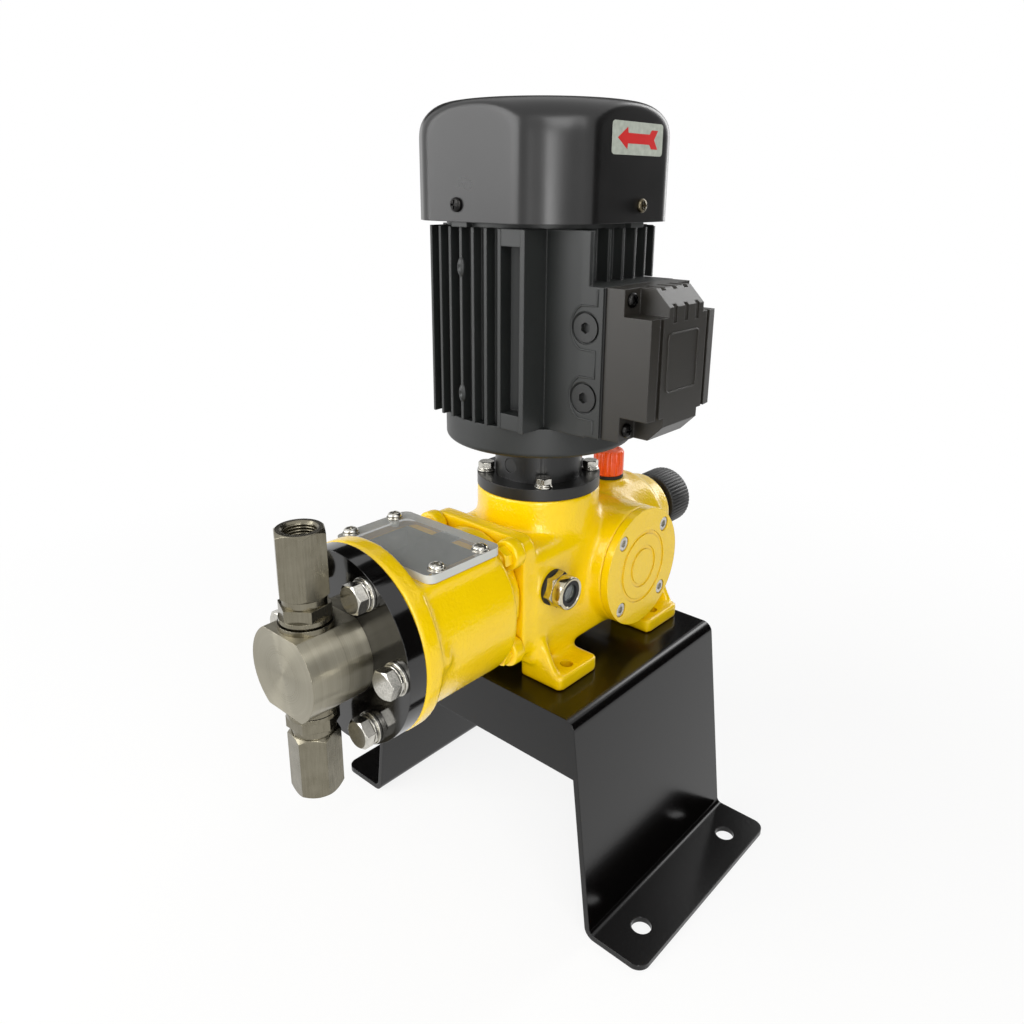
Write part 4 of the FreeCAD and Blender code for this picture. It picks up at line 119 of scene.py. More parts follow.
def add(tree, kind, inputs=None, **settings):
    """Adds one node: a shader node by its short name, any other by its full name."""
    made = tree.nodes.new(kind if "Node" in kind else "ShaderNode" + kind)
    for name, value in settings.items():
        setattr(made, name, value)
    return feed(made, inputs or {})


def emptied(owner):
    """The node tree of a material or a world, with nothing in it."""
    owner.use_nodes = True
    owner.node_tree.nodes.clear()
    return owner.node_tree


def new_finish(name, inputs=None):
    """A material with one main shader: returns it, its tree, the shader and the object coordinates."""
    finish = bpy.data.materials.new(name)
    tree = emptied(finish)
    shader = add(tree, "BsdfPrincipled", inputs)
    add(tree, "OutputMaterial", {"Surface": shader})
    return finish, tree, shader, add(tree, "TexCoord").outputs["Object"]


# %% [markdown]
# ## Studio
# A pale floor, a white surround and five soft lamps: a large one that the left faces mirror, one high in
# front, two narrow strips that draw lines along round metal, and one behind on the right for the far
# edges. Two dark cards show in reflections only, as bright metal and gloss need something dark to mirror.

# %% Floor and surround
def seen_rays(tree):
    """One for rays that reach the camera straight, by a mirror or through glass, and nought for others."""
    path = add(tree, "LightPath")
    seen = path.outputs["Is Camera Ray"]
    for kind in ("Is Glossy Ray", "Is Transmission Ray"):
        seen = add(tree, "Math", {0: seen, 1: path.outputs[kind]}, operation="MAXIMUM")
    return seen


def flat_mesh(name, width, height):
    """A rectangle round the origin."""
    w, h = width / 2, height / 2
    mesh = bpy.data.meshes.new(name)
    mesh.from_pydata([(-w, -h, 0), (w, -h, 0), (w, h, 0), (-w, h, 0)], [], [(0, 1, 2, 3)])
    return mesh


FLOOR_SIZE = 24.0
FLOOR_DROP = 0.5 * MM
FLOOR_FADE = {"From Min": 0.35, "From Max": 0.9, "To Min": 0.84}  # metres, and the share of white there
AMBIENT = 0.42
WHITE = (1, 1, 1, 1)

floor = placed("floor", flat_mesh("floor", FLOOR_SIZE, FLOOR_SIZE))
floor.location.z = -FLOOR_DROP
floor_finish = bpy.data.materials.new("pale_floor")
tree = emptied(floor_finish)
diffuse = add(tree, "BsdfDiffuse", {"Color": "f4f4f2"})
away = add(tree, "VectorMath", {0: add(tree, "TexCoord").outputs["Object"]}, operation="LENGTH")
share = add(tree, "MapRange", {"Value": away, **FLOOR_FADE})
amount = add(tree, "Math", {0: seen_rays(tree), 1: share}, operation="MULTIPLY")
white = add(tree, "Emission", {"Color": WHITE, "Strength": 1.0})
add(tree, "OutputMaterial", {"Surface": add(tree, "MixShader", {0: amount, 1: diffuse, 2: white})})
floor.data.materials.append(floor_finish)

world = bpy.data.worlds.new("studio")
bpy.context.scene.world = world
sky = emptied(world)
soft, white = (add(sky, "Background", {"Color": WHITE, "Strength": power}) for power in (AMBIENT, 1.0))
add(sky, "OutputWorld", {"Surface": add(sky, "MixShader", {0: seen_rays(sky), 1: soft, 2: white})})

# %% Lamps and cards
AIM = Vector((-40, 0, 260)) * MM
LAMPS = {  # place, width, height and watts of each
    "key_left": ((-1.25, 0.5, 0.85), 1.0, 1.1, 14.0),
    "front_high": ((-0.75, -1.1, 1.25), 0.8, 0.8, 9.0),
    "front_strip": ((-1.05, -1.0, 0.3), 0.22, 0.9, 6.5),
    "left_strip": ((-0.95, 1.1, 0.5), 0.1, 0.9, 2.6),
    "rim_right": ((1.35, -0.15, 0.85), 0.4, 1.2, 7.0),
}
CARDS = {  # place, width and height of each
    "card_right": ((0.85, -1.0, 0.35), 1.3, 1.6),
    "card_behind": ((1.1, 1.3, 1.3), 2.0, 0.9),
}


def towards_pump(place):
    """The turn that makes a lamp or a card at a place face the pump."""
    return (AIM - Vector(place)).to_track_quat("-Z", "Y")


for name, (place, width, height, watts) in LAMPS.items():
    lamp = bpy.data.lights.new(name, "AREA")
    lamp.shape = "RECTANGLE"
    lamp.size, lamp.size_y = width, height
    lamp.energy = watts
    holder = placed(name, lamp)
    holder.location = place
    holder.rotation_euler = towards_pump(place).to_euler()
card_black = new_finish("black_card", {"Base Color": "0a0a0a", "Roughness": 0.9})[0]
for name, (place, width, height) in CARDS.items():
    card = placed(name, flat_mesh(name, width, height))
    card.data.transform(Matrix.Translation(place) @ towards_pump(place).to_matrix().to_4x4())
    card.data.materials.append(card_black)
    card.visible_camera = False
print("lamps:", list(LAMPS), "cards:", list(CARDS))


# %% [markdown]
# ## Where things are
# Every piece below stands on places that are read from the frame, so nothing has to be fitted by eye.
# Three axes carry the whole pump: the plunger's, the motor's and the worm wheel's.

# %% Read the axes and faces from the frame
def centre(name):
    """The middle of a CAD part's box."""
    low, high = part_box(name)
    return (low + high) / 2


plunger_axis, motor_axis, wheel_axis = (centre(n) for n in ("plunger", "motor_shaft", "side_cover_near"))
plunger_axis.x = motor_axis.z = wheel_axis.y = 0
gear_low, gear_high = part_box("gearbox_housing")
lantern_low, lantern_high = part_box("lantern")
print("plunger", tuple(plunger_axis), "motor", tuple(motor_axis), "wheel", tuple(wheel_axis))

# %% [markdown]
# ## Finishes
# Each finish starts from the real material and from how its surface was made. All read object
# coordinates, which are metres in the frame. A Bevel node of the real edge radius rounds the CAD edges
# in the shading, which gives them their thin highlight. The functions take sizes in millimetres. A grain
# too fine for the picture, as on lacquer, lathe work and drawn bar, is drawn as coarse as it needs to show.

# %% A helper for the edge highlight with a surface texture on top of it
EVEN = (1, 1, 1)


def textured(tree, shader, place, edge, *layers):
    """Rounds the edges and adds bumps. Each layer is the size of its grain, its depth and its stretch."""
    normal = add(tree, "Bevel", {"Radius": edge * MM}, samples=4)
    for grain, depth, stretch in layers:
        stretched = add(tree, "VectorMath", {0: place, 1: stretch}, operation="MULTIPLY")
        height = add(tree, "TexNoise", {"Vector": stretched, "Scale": 1 / (grain * MM)})
        normal = add(tree, "Bump", {
            "Height": height, "Distance": depth * MM, "Normal": normal, "Strength": 1.0})
    feed(shader, {"Normal": normal})


# %% [markdown]
# ### Gloss enamel on cast iron
# The castings are brush painted with a thick yellow enamel. It fills the sand grain, and dries with an
# orange peel that breaks the highlights into sparkles. Three noises at three sizes make those. Shade is
# painted into the corners: where ambient occlusion finds one, the yellow turns a deeper, browner one.

# %% Yellow enamel
ENAMEL_PEEL, ENAMEL_LUMP, ENAMEL_PATCH = 1.9, 9.0, 45.0
enamel, tree, shader, place = new_finish("yellow_gloss_enamel", {
    "Roughness": 0.2, "Coat Weight": 0.25, "Coat Roughness": 0.05, "IOR": 1.42})
patches = add(tree, "TexNoise", {"Vector": place, "Scale": 1 / (ENAMEL_PATCH * MM), "Detail": 3.0})
coats = add(tree, "Mix", {"Factor": patches, "A": "f6d102", "B": "efc400"}, data_type="RGBA")
# Painted shade: ambient occlusion darkens the enamel to a browner yellow in corners and creases
corners = add(tree, "AmbientOcclusion", {"Distance": 9 * MM}, samples=4)
corner_shade = add(tree, "MapRange", {"Value": corners.outputs["AO"], "From Min": 0.15, "From Max": 0.6})
feed(shader, {"Base Color": add(tree, "Mix", {"Factor": corner_shade, "A": "d79f00", "B": coats}, data_type="RGBA")})
textured(tree, shader, place, 0.9, (ENAMEL_LUMP, 0.3, EVEN), (ENAMEL_PEEL, 0.34, EVEN))

# %% [markdown]
# ### Paints, plastics and rubber
# The pressed cowl has a smooth satin lacquer, and the aluminium castings below it a duller black that
# keeps the die-cast grain. The knob and the plugs are eroded black plastic, the filler cap is a glossy
# orange moulding, and the seals are matt rubber. They differ only in colour, gloss and grain.

# %% Coats of paint and mouldings
PAINT = {"clouds": (30.0, 4.0), "spread": 0.04}


def coat(name, dark, light, roughness, grain, depth, edge=0.5, clouds=(11.0, 2.0), spread=0.05):
    """A paint or a moulding: soft clouds of two near colours, with an uneven gloss, and a fine grain."""
    finish, tree, shader, place = new_finish(name)
    flow = add(tree, "TexNoise", {"Vector": place, "Scale": 1 / (clouds[0] * MM), "Detail": clouds[1]})
    feed(shader, {
        "Base Color": add(tree, "Mix", {"Factor": flow, "A": dark, "B": light}, data_type="RGBA"),
        "Roughness": add(tree, "MapRange", {
            "Value": flow, "To Min": roughness - spread, "To Max": roughness + spread})})
    textured(tree, shader, place, edge, (grain, depth, EVEN))
    return finish


cowl_lacquer = coat("cowl_satin_black_lacquer", "0f0f0f", "151414", 0.29, 0.9, 0.004, 0.8, **PAINT)
frame_paint = coat("die_cast_matt_black_paint", "171918", "1e201f", 0.46, 0.8, 0.03, 1.0, **PAINT)
lid_paint = coat("terminal_lid_black_paint", "1d1b17", "25221d", 0.4, 0.8, 0.03, 0.9, **PAINT)
adapter_paint = coat("machined_flange_black_paint", "121212", "181817", 0.36, 1.1, 0.015, 0.6, **PAINT)
knob_plastic = coat("eroded_black_abs", "0d0d0d", "131313", 0.45, 0.6, 0.03)
plug_plastic = coat("moulded_black_nylon", "131413", "191a19", 0.4, 0.8, 0.02)
cap_plastic = coat("glossy_orange_polypropylene", "fb4f12", "ff6422", 0.28, 4.0, 0.03)
rubber = coat("nitrile_rubber", "0f0f0f", "161616", 0.62, 0.7, 0.03)
packing = coat("graphited_packing", "2b2b2c", "3a3a3b", 0.55, 1.2, 0.12)
block_plastic = coat("brown_phenolic_moulding", "3a2216", "4c2f1f", 0.4, 0.8, 0.02)
red_ink = coat("red_screen_ink", "bd0606", "cc0b0b", 0.45, 1.0, 0.01)

# %% [markdown]
# ### Gloss black of the flange and the stand
# The pump flange is turned steel under a hard gloss black, nearly a mirror. The stand is powder coated:
# as glossy from afar, but with faint pale specks of dust and a slight orange peel.

# %% Gloss black
flange_black, tree, shader, place = new_finish("hard_gloss_black_coating", {
    "Base Color": "060505", "Roughness": 0.1, "IOR": 1.6})
textured(tree, shader, place, 0.6, (14.0, 0.02, EVEN))

SPECK = 1.6 * MM  # between grains of dust, which are drawn coarser than real ones so that they show
stand_coat, tree, shader, place = new_finish("stand_black_powder_coat", {"Roughness": 0.17, "IOR": 1.42})
dust = add(tree, "TexVoronoi", {"Vector": place, "Scale": 1 / SPECK})
speck = add(tree, "MapRange", {
    "Value": dust, "From Min": 0.05, "From Max": 0.12, "To Min": 1.0, "To Max": 0.0})
patches = add(tree, "TexNoise", {"Vector": place, "Scale": 1 / (5 * MM)})
chosen = add(tree, "Math", {0: patches, 1: 0.56}, operation="GREATER_THAN")
amount = add(tree, "Math", {0: speck, 1: chosen}, operation="MULTIPLY")
feed(shader, {
    "Base Color": add(tree, "Mix", {"Factor": amount, "A": "050404", "B": "3b3a36"}, data_type="RGBA")})
textured(tree, shader, place, 1.0, (3.0, 0.02, EVEN))

# %% [markdown]
# ### Turned stainless steel
# A lathe leaves fine rings round the axis. They scatter light across themselves and not along, which
# draws the bow tie on the end face. The shader does that with anisotropy: its tangent runs round the
# plunger's axis, and a noise of the distance along and from that axis draws rings too fine to model.

# %% Turned stainless
TOOL_MARK, TOOL_BAND = 0.45, 6.0  # real tool marks lie closer, and are drawn this coarse so that they show
TONES = {"From Min": 0.7, "From Max": 1.3}  # where the sum of two noises lies
turned_steel, tree, shader, place = new_finish("turned_stainless_steel", {
    "Metallic": 1.0, "Anisotropic": 0.97, "Anisotropic Rotation": 0.25})
from_axis = add(tree, "VectorMath", {0: place, 1: tuple(plunger_axis)}, operation="SUBTRACT")
around = add(tree, "VectorMath", {0: (1, 0, 0), 1: from_axis}, operation="CROSS_PRODUCT")
flat = add(tree, "VectorMath", {0: from_axis, 1: (0, 1, 1)}, operation="MULTIPLY")
reach = add(tree, "VectorMath", {0: flat}, operation="LENGTH")
rings = add(tree, "CombineXYZ", {"X": add(tree, "SeparateXYZ", {0: place}), "Y": reach})
marks = add(tree, "TexNoise", {"Vector": rings, "Scale": 1 / (TOOL_MARK * MM), "Detail": 3.0})
bands = add(tree, "TexNoise", {"Vector": rings, "Scale": 1 / (TOOL_BAND * MM), "Detail": 1.0})
tone = add(tree, "Math", {0: marks, 1: bands}, operation="ADD")
share = add(tree, "MapRange", {"Value": tone, **TONES})
normal = add(tree, "Bevel", {"Radius": 0.5 * MM}, samples=4)
feed(shader, {
    "Tangent": around,
    "Roughness": add(tree, "MapRange", {"Value": tone, **TONES, "To Min": 0.27, "To Max": 0.31}),
    "Base Color": add(tree, "Mix", {"Factor": share, "A": "8f8a7a", "B": "a5a090"}, data_type="RGBA"),
    "Normal": add(tree, "Bump", {
        "Height": marks, "Distance": 0.003 * MM, "Normal": normal, "Strength": 1.0})})

# %% [markdown]
# ### Other metals
# Bar stock, screws and running parts show how they were cut: long drawn scratches on the hexagonal bar,
# a finer grain on bolts, a ground shine on shafts. The stretch of the grain says which way the tool went.
# The foil of the label is made the same way, with a faint crinkle and only partly metallic.

# %% A function for bare metals, and the metals
def bare_metal(name, dark, light, roughness, grain, depth, stretch=EVEN, metallic=1.0):
    """Bare metal with grain of one size, stretched along the way it was worked, and uneven polish."""
    finish, tree, shader, place = new_finish(name, {"Metallic": metallic})
    stretched = add(tree, "VectorMath", {0: place, 1: stretch}, operation="MULTIPLY")
    scratches = add(tree, "TexNoise", {"Vector": stretched, "Scale": 1 / (grain * MM), "Detail": 3.0})
    stains = add(tree, "TexNoise", {"Vector": place, "Scale": 1 / (8 * MM), "Detail": 3.0})
    both = add(tree, "Math", {0: scratches, 1: stains}, operation="ADD")
    share = add(tree, "MapRange", {"Value": both, **TONES})
    feed(shader, {
        "Base Color": add(tree, "Mix", {"Factor": share, "A": dark, "B": light}, data_type="RGBA"),
        "Roughness": add(tree, "MapRange", {
            "Value": both, **TONES, "To Min": roughness + 0.06, "To Max": roughness - 0.06})})
    textured(tree, shader, place, 0.4, (grain, depth, stretch))
    return finish


DRAWN = (1, 1, 0.06)
bar_steel = bare_metal("drawn_stainless_hexagon_bar", "757061", "847f70", 0.24, 0.9, 0.003, DRAWN)
bolt_steel = bare_metal("bright_zinc_plated_steel", "aba9a2", "d6d3ca", 0.2, 0.8, 0.012)
nickel = bare_metal("nickel_plated_brass", "a9a18a", "d8d0b8", 0.16, 1.2, 0.008)
ground_steel = bare_metal("ground_shaft_steel", "8c8c8c", "bdbdbb", 0.22, 0.8, 0.005)
black_screw = bare_metal("blackened_screw_steel", "1c1c1c", "333231", 0.3, 0.8, 0.01)
laminated = bare_metal("stacked_sheet_steel", "4a4a4c", "77777a", 0.42, 0.9, 0.05, (0.1, 0.1, 1))
bronze = bare_metal("cast_tin_bronze", "8f6a2c", "c19a52", 0.32, 0.9, 0.015)
copper_wire = bare_metal("enamelled_copper_wire", "7c3f1d", "b0683a", 0.3, 1.4, 0.25, (1, 1, 0.2))
raw_iron = bare_metal("raw_grey_cast_iron", "3a3a3b", "5b5b5c", 0.55, 1.1, 0.06)
bored_iron = bare_metal("bored_cast_iron", "a4a5a3", "c4c5c2", 0.4, 0.9, 0.01)
old_brass = bare_metal("dull_brass_screw", "4c4638", "6b6350", 0.3, 0.8, 0.01)
foil = bare_metal("silver_label_foil", "aab0a4", "c3c9bd", 0.5, 3.5, 0.02, metallic=0.35)

# %% [markdown]
# ### Acrylic and glass
# The window is grey tinted acrylic: its two broad faces are clear, so the coupling shows through, and
# its sawn edges are frosted and pale. The way a face looks, up or sideways, tells them apart.

# %% Acrylic and glass
acrylic, tree, shader, place = new_finish("grey_tinted_acrylic", {"IOR": 1.49})
clouds = add(tree, "TexNoise", {"Vector": place, "Scale": 1 / (25 * MM), "Detail": 3.0})
tint = add(tree, "Mix", {"Factor": clouds, "A": "a5a7a4", "B": "b3b5b2"}, data_type="RGBA")
facing = add(tree, "SeparateXYZ", {"Vector": add(tree, "TexCoord").outputs["Normal"]})
flat = add(tree, "Math", {0: facing.outputs["Z"]}, operation="ABSOLUTE")
sawn = add(tree, "MapRange", {"Value": flat, "From Min": 0.7, "From Max": 0.3})
feed(shader, {
    "Base Color": add(tree, "Mix", {"Factor": sawn, "A": tint, "B": "c9cbc8"}, data_type="RGBA"),
    "Alpha": add(tree, "MapRange", {"Value": sawn, "To Min": 0.48, "To Max": 0.92}),
    "Roughness": add(tree, "MapRange", {"Value": sawn, "To Min": 0.04, "To Max": 0.4})})
textured(tree, shader, place, 0.4, (60.0, 0.02, EVEN))

lens_glass, tree, shader, place = new_finish("sight_glass_lens", {
    "Base Color": "dfe8e4", "Transmission Weight": 0.9, "IOR": 1.52})
film = add(tree, "TexNoise", {"Vector": place, "Scale": 1 / (6 * MM), "Detail": 3.0})
feed(shader, {"Roughness": add(tree, "MapRange", {"Value": film, "To Min": 0.02, "To Max": 0.12})})
print("finishes:", len(bpy.data.materials))

# %% [markdown]
# ## Dress the frame's own parts
# Most parts of the frame already have the right shape. They keep it and take their finish here, in one
# table that reads like a parts list.

# %% Give every CAD node its finish
parts_by_finish = {
    enamel: ["gearbox_housing", "lantern", "side_cover_near", "side_cover_far", "lantern_studs"],
    stand_coat: ["stand"],
    cowl_lacquer: ["fan_cowl"],
    frame_paint: ["motor_frame", "lower_end_bell", "upper_end_bell"],
    lid_paint: ["terminal_lid"],
    adapter_paint: ["motor_adapter"],
    flange_black: ["pump_flange"],
    turned_steel: ["pump_head", "gland_nut", "gland_follower", "plunger_coupling_nut"],
    bar_steel: ["discharge_valve_body", "suction_valve_body", "valve_adapters", "valve_seats"],
    bolt_steel: ["pump_flange_bolts", "pump_flange_washers", "side_cover_screws", "motor_adapter_bolts",
                 "window_screws", "knob_set_screw"],
    black_screw: ["motor_cover_screws", "return_spring"],
    nickel: ["sight_glass_body"],
    ground_steel: ["plunger", "push_rod", "motor_shaft", "wheel_shaft", "worm", "eccentrics", "bearings",
                   "adjusting_spindle", "discharge_valve_ball", "suction_valve_ball"],
    laminated: ["stator_core", "rotor_core"],
    bronze: ["worm_wheel", "rod_bush", "spindle_bush"],
    copper_wire: ["stator_windings"],
    raw_iron: ["yoke"],
    knob_plastic: ["stroke_knob"],
    plug_plastic: ["blanking_plugs", "fan"],
    cap_plastic: ["filler_cap"],
    rubber: ["filler_cap_gasket", "sight_glass_seals", "oil_seals", "lid_gasket"],
    packing: ["packing_rings"],
    block_plastic: ["terminal_block"],
    acrylic: ["window_plate"],
    lens_glass: ["sight_glass_lens"],
}
undressed = set(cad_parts)
for finish, names in parts_by_finish.items():
    for name in names:
        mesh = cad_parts[name].data
        mesh.materials.clear()
        mesh.materials.append(finish)
        undressed.remove(name)
print("without a finish:", sorted(undressed))

# %% [markdown]
# ## Tools for building pieces
# Three shapes cover most machine parts: a turned one, a flat one pushed straight, and a hexagon whose
# corners a lathe has cut. Each builds faces in a bmesh, so that several can share one mesh.

# %% Start and finish a piece
def as_object(form, name, smooth_angle=35.0):
    """Makes an object of a bmesh: merged, with its faces outward, smooth except at sharp edges."""
    bmesh.ops.remove_doubles(form, verts=form.verts, dist=0.002 * MM)
    bmesh.ops.recalc_face_normals(form, faces=form.faces)
    mesh = bpy.data.meshes.new(name)
    form.to_mesh(mesh)
    form.free()
    return softened(placed(name, mesh), smooth_angle)


def softened(piece, angle):
    """Shades a piece smooth, except at edges sharper than an angle."""
    piece.data.shade_smooth()
    piece.data.set_sharp_from_angle(angle=math.radians(angle))
    return piece


def dress(piece, finish, replaced=(), body="pump_body"):
    """Gives a piece its finish, parents it to the body it rides on and hides the CAD nodes it stands for."""
    piece.data.materials.clear()
    piece.data.materials.append(finish)
    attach(piece, body)
    if replaced:
        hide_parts(*replaced)
    print(piece.name, len(piece.data.polygons), "faces")


def made_plain(piece):
    """Applies the modifiers of a piece and removes them."""
    graph = bpy.context.evaluated_depsgraph_get()
    mesh = bpy.data.meshes.new_from_object(piece.evaluated_get(graph))
    piece.modifiers.clear()
    piece.data = mesh
    return piece


# %% Turned shapes, pushed outlines and hexagons
def axes(along):
    """Two directions across an axis, right-handed with it."""
    along = Vector(along).normalized()
    helper = Vector((0, 0, 1)) if abs(along.z) < 0.9 else Vector((1, 0, 0))
    side = helper.cross(along).normalized()
    return along, side, along.cross(side)


def bridge(form, one, other, wanted=None):
    """Faces between two rings of points. A ring may be one point, and wanted(k) says which to make."""
    steps = max(len(one), len(other))
    for k in range(steps):
        j = (k + 1) % steps
        if wanted is None or wanted(k):
            corners = one[k % len(one)], one[j % len(one)], other[j % len(other)], other[k % len(other)]
            form.faces.new(tuple(dict.fromkeys(corners)))


def turn_profile(form, profile, start, along, steps=64, wave=None):
    """Turns (distance along, radius) points round an axis; wave(angle, radius) changes the radius."""
    along, side, up = axes(along)
    rings = []
    for far, radius in profile:
        if radius < 0.001 * MM:
            rings.append([form.verts.new(start + along * far)])
            continue
        ring = []
        for k in range(steps):
            angle = 2 * math.pi * k / steps
            reach = wave(angle, radius) if wave else radius
            out = side * math.cos(angle) + up * math.sin(angle)
            ring.append(form.verts.new(start + along * far + out * reach))
        rings.append(ring)
    for one, other in zip(rings, rings[1:]):
        bridge(form, one, other)


def in_mm(points):
    """A profile that was written in millimetres."""
    return [(a * MM, b * MM) for a, b in points]


def rounded(corners, steps=8):
    """Turns (a, b, radius) corners into points, with each corner as an arc."""
    points = []
    for i, (a, b, radius) in enumerate(corners):
        here = Vector((a, b))
        back = (Vector(corners[i - 1][:2]) - here).normalized()
        ahead = (Vector(corners[(i + 1) % len(corners)][:2]) - here).normalized()
        if radius <= 0:
            points.append(here)
            continue
        half = back.angle(ahead) / 2
        middle = here + (back + ahead).normalized() * (radius / math.sin(half))
        first = (here + back * (radius / math.tan(half)) - middle).normalized()
        last = (here + ahead * (radius / math.tan(half)) - middle).normalized()
        for k in range(steps + 1):
            points.append(middle + first.slerp(last, k / steps) * radius)
    return points


def oblong(a0, b0, a1, b1, radii=(0, 0, 0, 0)):
    """A rectangle from one corner to the other; the radii go round from the first corner, in mm."""
    corners = [(a0, b0), (a1, b0), (a1, b1), (a0, b1)]
    return rounded([(a, b, radius * MM) for (a, b), radius in zip(corners, radii)])


def level(z):
    """Puts outline points on a level."""
    return lambda a, b: Vector((a, b, z))


def upright(x):
    """Puts outline points on an upright plane across the pump."""
    return lambda a, b: Vector((x, a, b))


def turned(name, profile, start, along, steps, wave=None):
    """One turned profile as a piece of its own."""
    form = bmesh.new()
    turn_profile(form, profile, start, along, steps, wave)
    return as_object(form, name)


def push_outline(form, points, place, along):
    """A closed prism: place(a, b) puts an outline point in space, and along is how far it is pushed."""
    near = [form.verts.new(place(p[0], p[1])) for p in points]
    far = [form.verts.new(place(p[0], p[1]) + Vector(along)) for p in points]
    form.faces.new(near[::-1])
    form.faces.new(far)
    bridge(form, near, far)


def turned_hexagon(form, flats, height, start, along, roll=0.0):
    """A hexagon bar end whose top corners are turned off at 30 degrees."""
    along, side, up = axes(along)
    steps = 48
    crown = flats / 2 * 0.96
    low, high, top = [], [], []
    for k in range(steps):
        angle = 2 * math.pi * k / steps
        within = (angle % (math.pi / 3)) - math.pi / 6
        reach = flats / 2 / math.cos(within)
        out = side * math.cos(angle + roll) + up * math.sin(angle + roll)
        drop = (reach - crown) * math.tan(math.radians(30))
        low.append(form.verts.new(start + out * reach))
        high.append(form.verts.new(start + out * reach + along * (height - drop)))
        top.append(form.verts.new(start + out * crown + along * height))
    bridge(form, low, high)
    bridge(form, high, top)
    form.faces.new(top)
    form.faces.new(low[::-1])


# %% [markdown]
# ## Geometry Nodes for what repeats
# A bolt circle is one bolt and a rule. The first tree turns copies of a piece round an axis, the second
# lays them on a grid, the third sweeps a round bead along a line, for raised outlines, and the fourth
# winds a thread. The result becomes a plain mesh, so the finished model keeps no modifier.

# %% Run a tree and keep the mesh it makes
def new_tree(name, sockets):
    """A geometry tree with named inputs; gives the tree and the sockets of its group input."""
    tree = bpy.data.node_groups.new(name, "GeometryNodeTree")
    tree.interface.new_socket(name="Geometry", in_out="INPUT", socket_type="NodeSocketGeometry")
    for label, kind in [*sockets.items(), ("Finish", "Material")]:
        tree.interface.new_socket(name=label, in_out="INPUT", socket_type="NodeSocket" + kind)
    tree.interface.new_socket(name="Geometry", in_out="OUTPUT", socket_type="NodeSocketGeometry")
    return tree, add(tree, "NodeGroupInput").outputs


def end_tree(tree, shape, given):
    """Realises the instances, sets the material, links the output and gives the tree back."""
    real = add(tree, "GeometryNodeRealizeInstances", {"Geometry": shape})
    painted = add(tree, "GeometryNodeSetMaterial", {"Geometry": real, "Material": given["Finish"]})
    add(tree, "NodeGroupOutput", {"Geometry": painted})
    return tree


def grow(tree, name, values, seed_mesh=None):
    """Runs a tree on a mesh with the given inputs and returns a plain object."""
    made = placed(name, seed_mesh or bpy.data.meshes.new(name))
    modifier = made.modifiers.new("grow", "NODES")
    modifier.node_group = tree
    for socket in tree.interface.items_tree:
        if socket.in_out == "INPUT" and socket.name in values:
            modifier[socket.identifier] = values[socket.name]
    return made_plain(made)


def repeat(tree, one, name, finish, slot, replaced=(), **rule):
    """Copies one piece by the rule of a tree, dresses the copies and throws the one away."""
    made = grow(tree, name, {"Piece": one, "Finish": finish, **rule})
    bpy.data.objects.remove(one)
    dress(made, finish, replaced)


# %% Copies round an axis, and copies on a grid
GRID_ROLL = 0.7  # each copy is turned this much further round itself, as screws are

tree, given = new_tree("copies_round_an_axis", {
    "Piece": "Object", "Count": "Int", "Centre": "Vector", "Axis": "Vector"})
spots = add(tree, "GeometryNodeMeshLine", {
    "Count": given["Count"], "Start Location": given["Centre"], "Offset": (0, 0, 0)}, mode="OFFSET")
number = add(tree, "GeometryNodeInputIndex")
step = add(tree, "Math", {0: 2 * math.pi, 1: given["Count"]}, operation="DIVIDE")
angle = add(tree, "Math", {0: number, 1: step}, operation="MULTIPLY")
facing = add(tree, "FunctionNodeAxisAngleToRotation", {"Axis": given["Axis"], "Angle": angle})
piece = add(tree, "GeometryNodeObjectInfo", {"Object": given["Piece"]}).outputs["Geometry"]
minus = add(tree, "VectorMath", {0: given["Centre"], 1: (-1, -1, -1)}, operation="MULTIPLY")
centred = add(tree, "GeometryNodeTransform", {"Geometry": piece, "Translation": minus})
copies = add(tree, "GeometryNodeInstanceOnPoints", {
    "Points": spots, "Instance": centred, "Rotation": facing})
turned_copies = end_tree(tree, copies, given)

tree, given = new_tree("copies_on_a_grid", {
    "Piece": "Object", "Wide": "Float", "Deep": "Float", "Centre": "Vector", "Turn": "Vector"})
grid = add(tree, "GeometryNodeMeshGrid", {
    "Size X": given["Wide"], "Size Y": given["Deep"], "Vertices X": 2, "Vertices Y": 2})
laid = add(tree, "GeometryNodeTransform", {
    "Geometry": grid, "Translation": given["Centre"], "Rotation": given["Turn"]})
piece = add(tree, "GeometryNodeObjectInfo", {"Object": given["Piece"]}).outputs["Geometry"]
number = add(tree, "GeometryNodeInputIndex")
roll = add(tree, "Math", {0: number, 1: GRID_ROLL}, operation="MULTIPLY")
spin = add(tree, "CombineXYZ", {"Z": roll})
facing = add(tree, "FunctionNodeEulerToRotation", {"Euler": given["Turn"]})
copies = add(tree, "GeometryNodeInstanceOnPoints", {
    "Points": laid, "Instance": piece, "Rotation": facing})
rolled = add(tree, "GeometryNodeRotateInstances", {
    "Instances": copies, "Rotation": spin, "Local Space": True})
grid_copies = end_tree(tree, rolled, given)

# %% A bead along a line, and a thread
tree, given = new_tree("bead_along_a_line", {"Bead": "Float"})
curve = add(tree, "GeometryNodeMeshToCurve", {"Mesh": given["Geometry"]})
bead = add(tree, "GeometryNodeCurvePrimitiveCircle", {"Resolution": 8, "Radius": given["Bead"]})
swept = add(tree, "GeometryNodeCurveToMesh", {"Curve": curve, "Profile Curve": bead, "Fill Caps": True})
bead_line = end_tree(tree, swept, given)

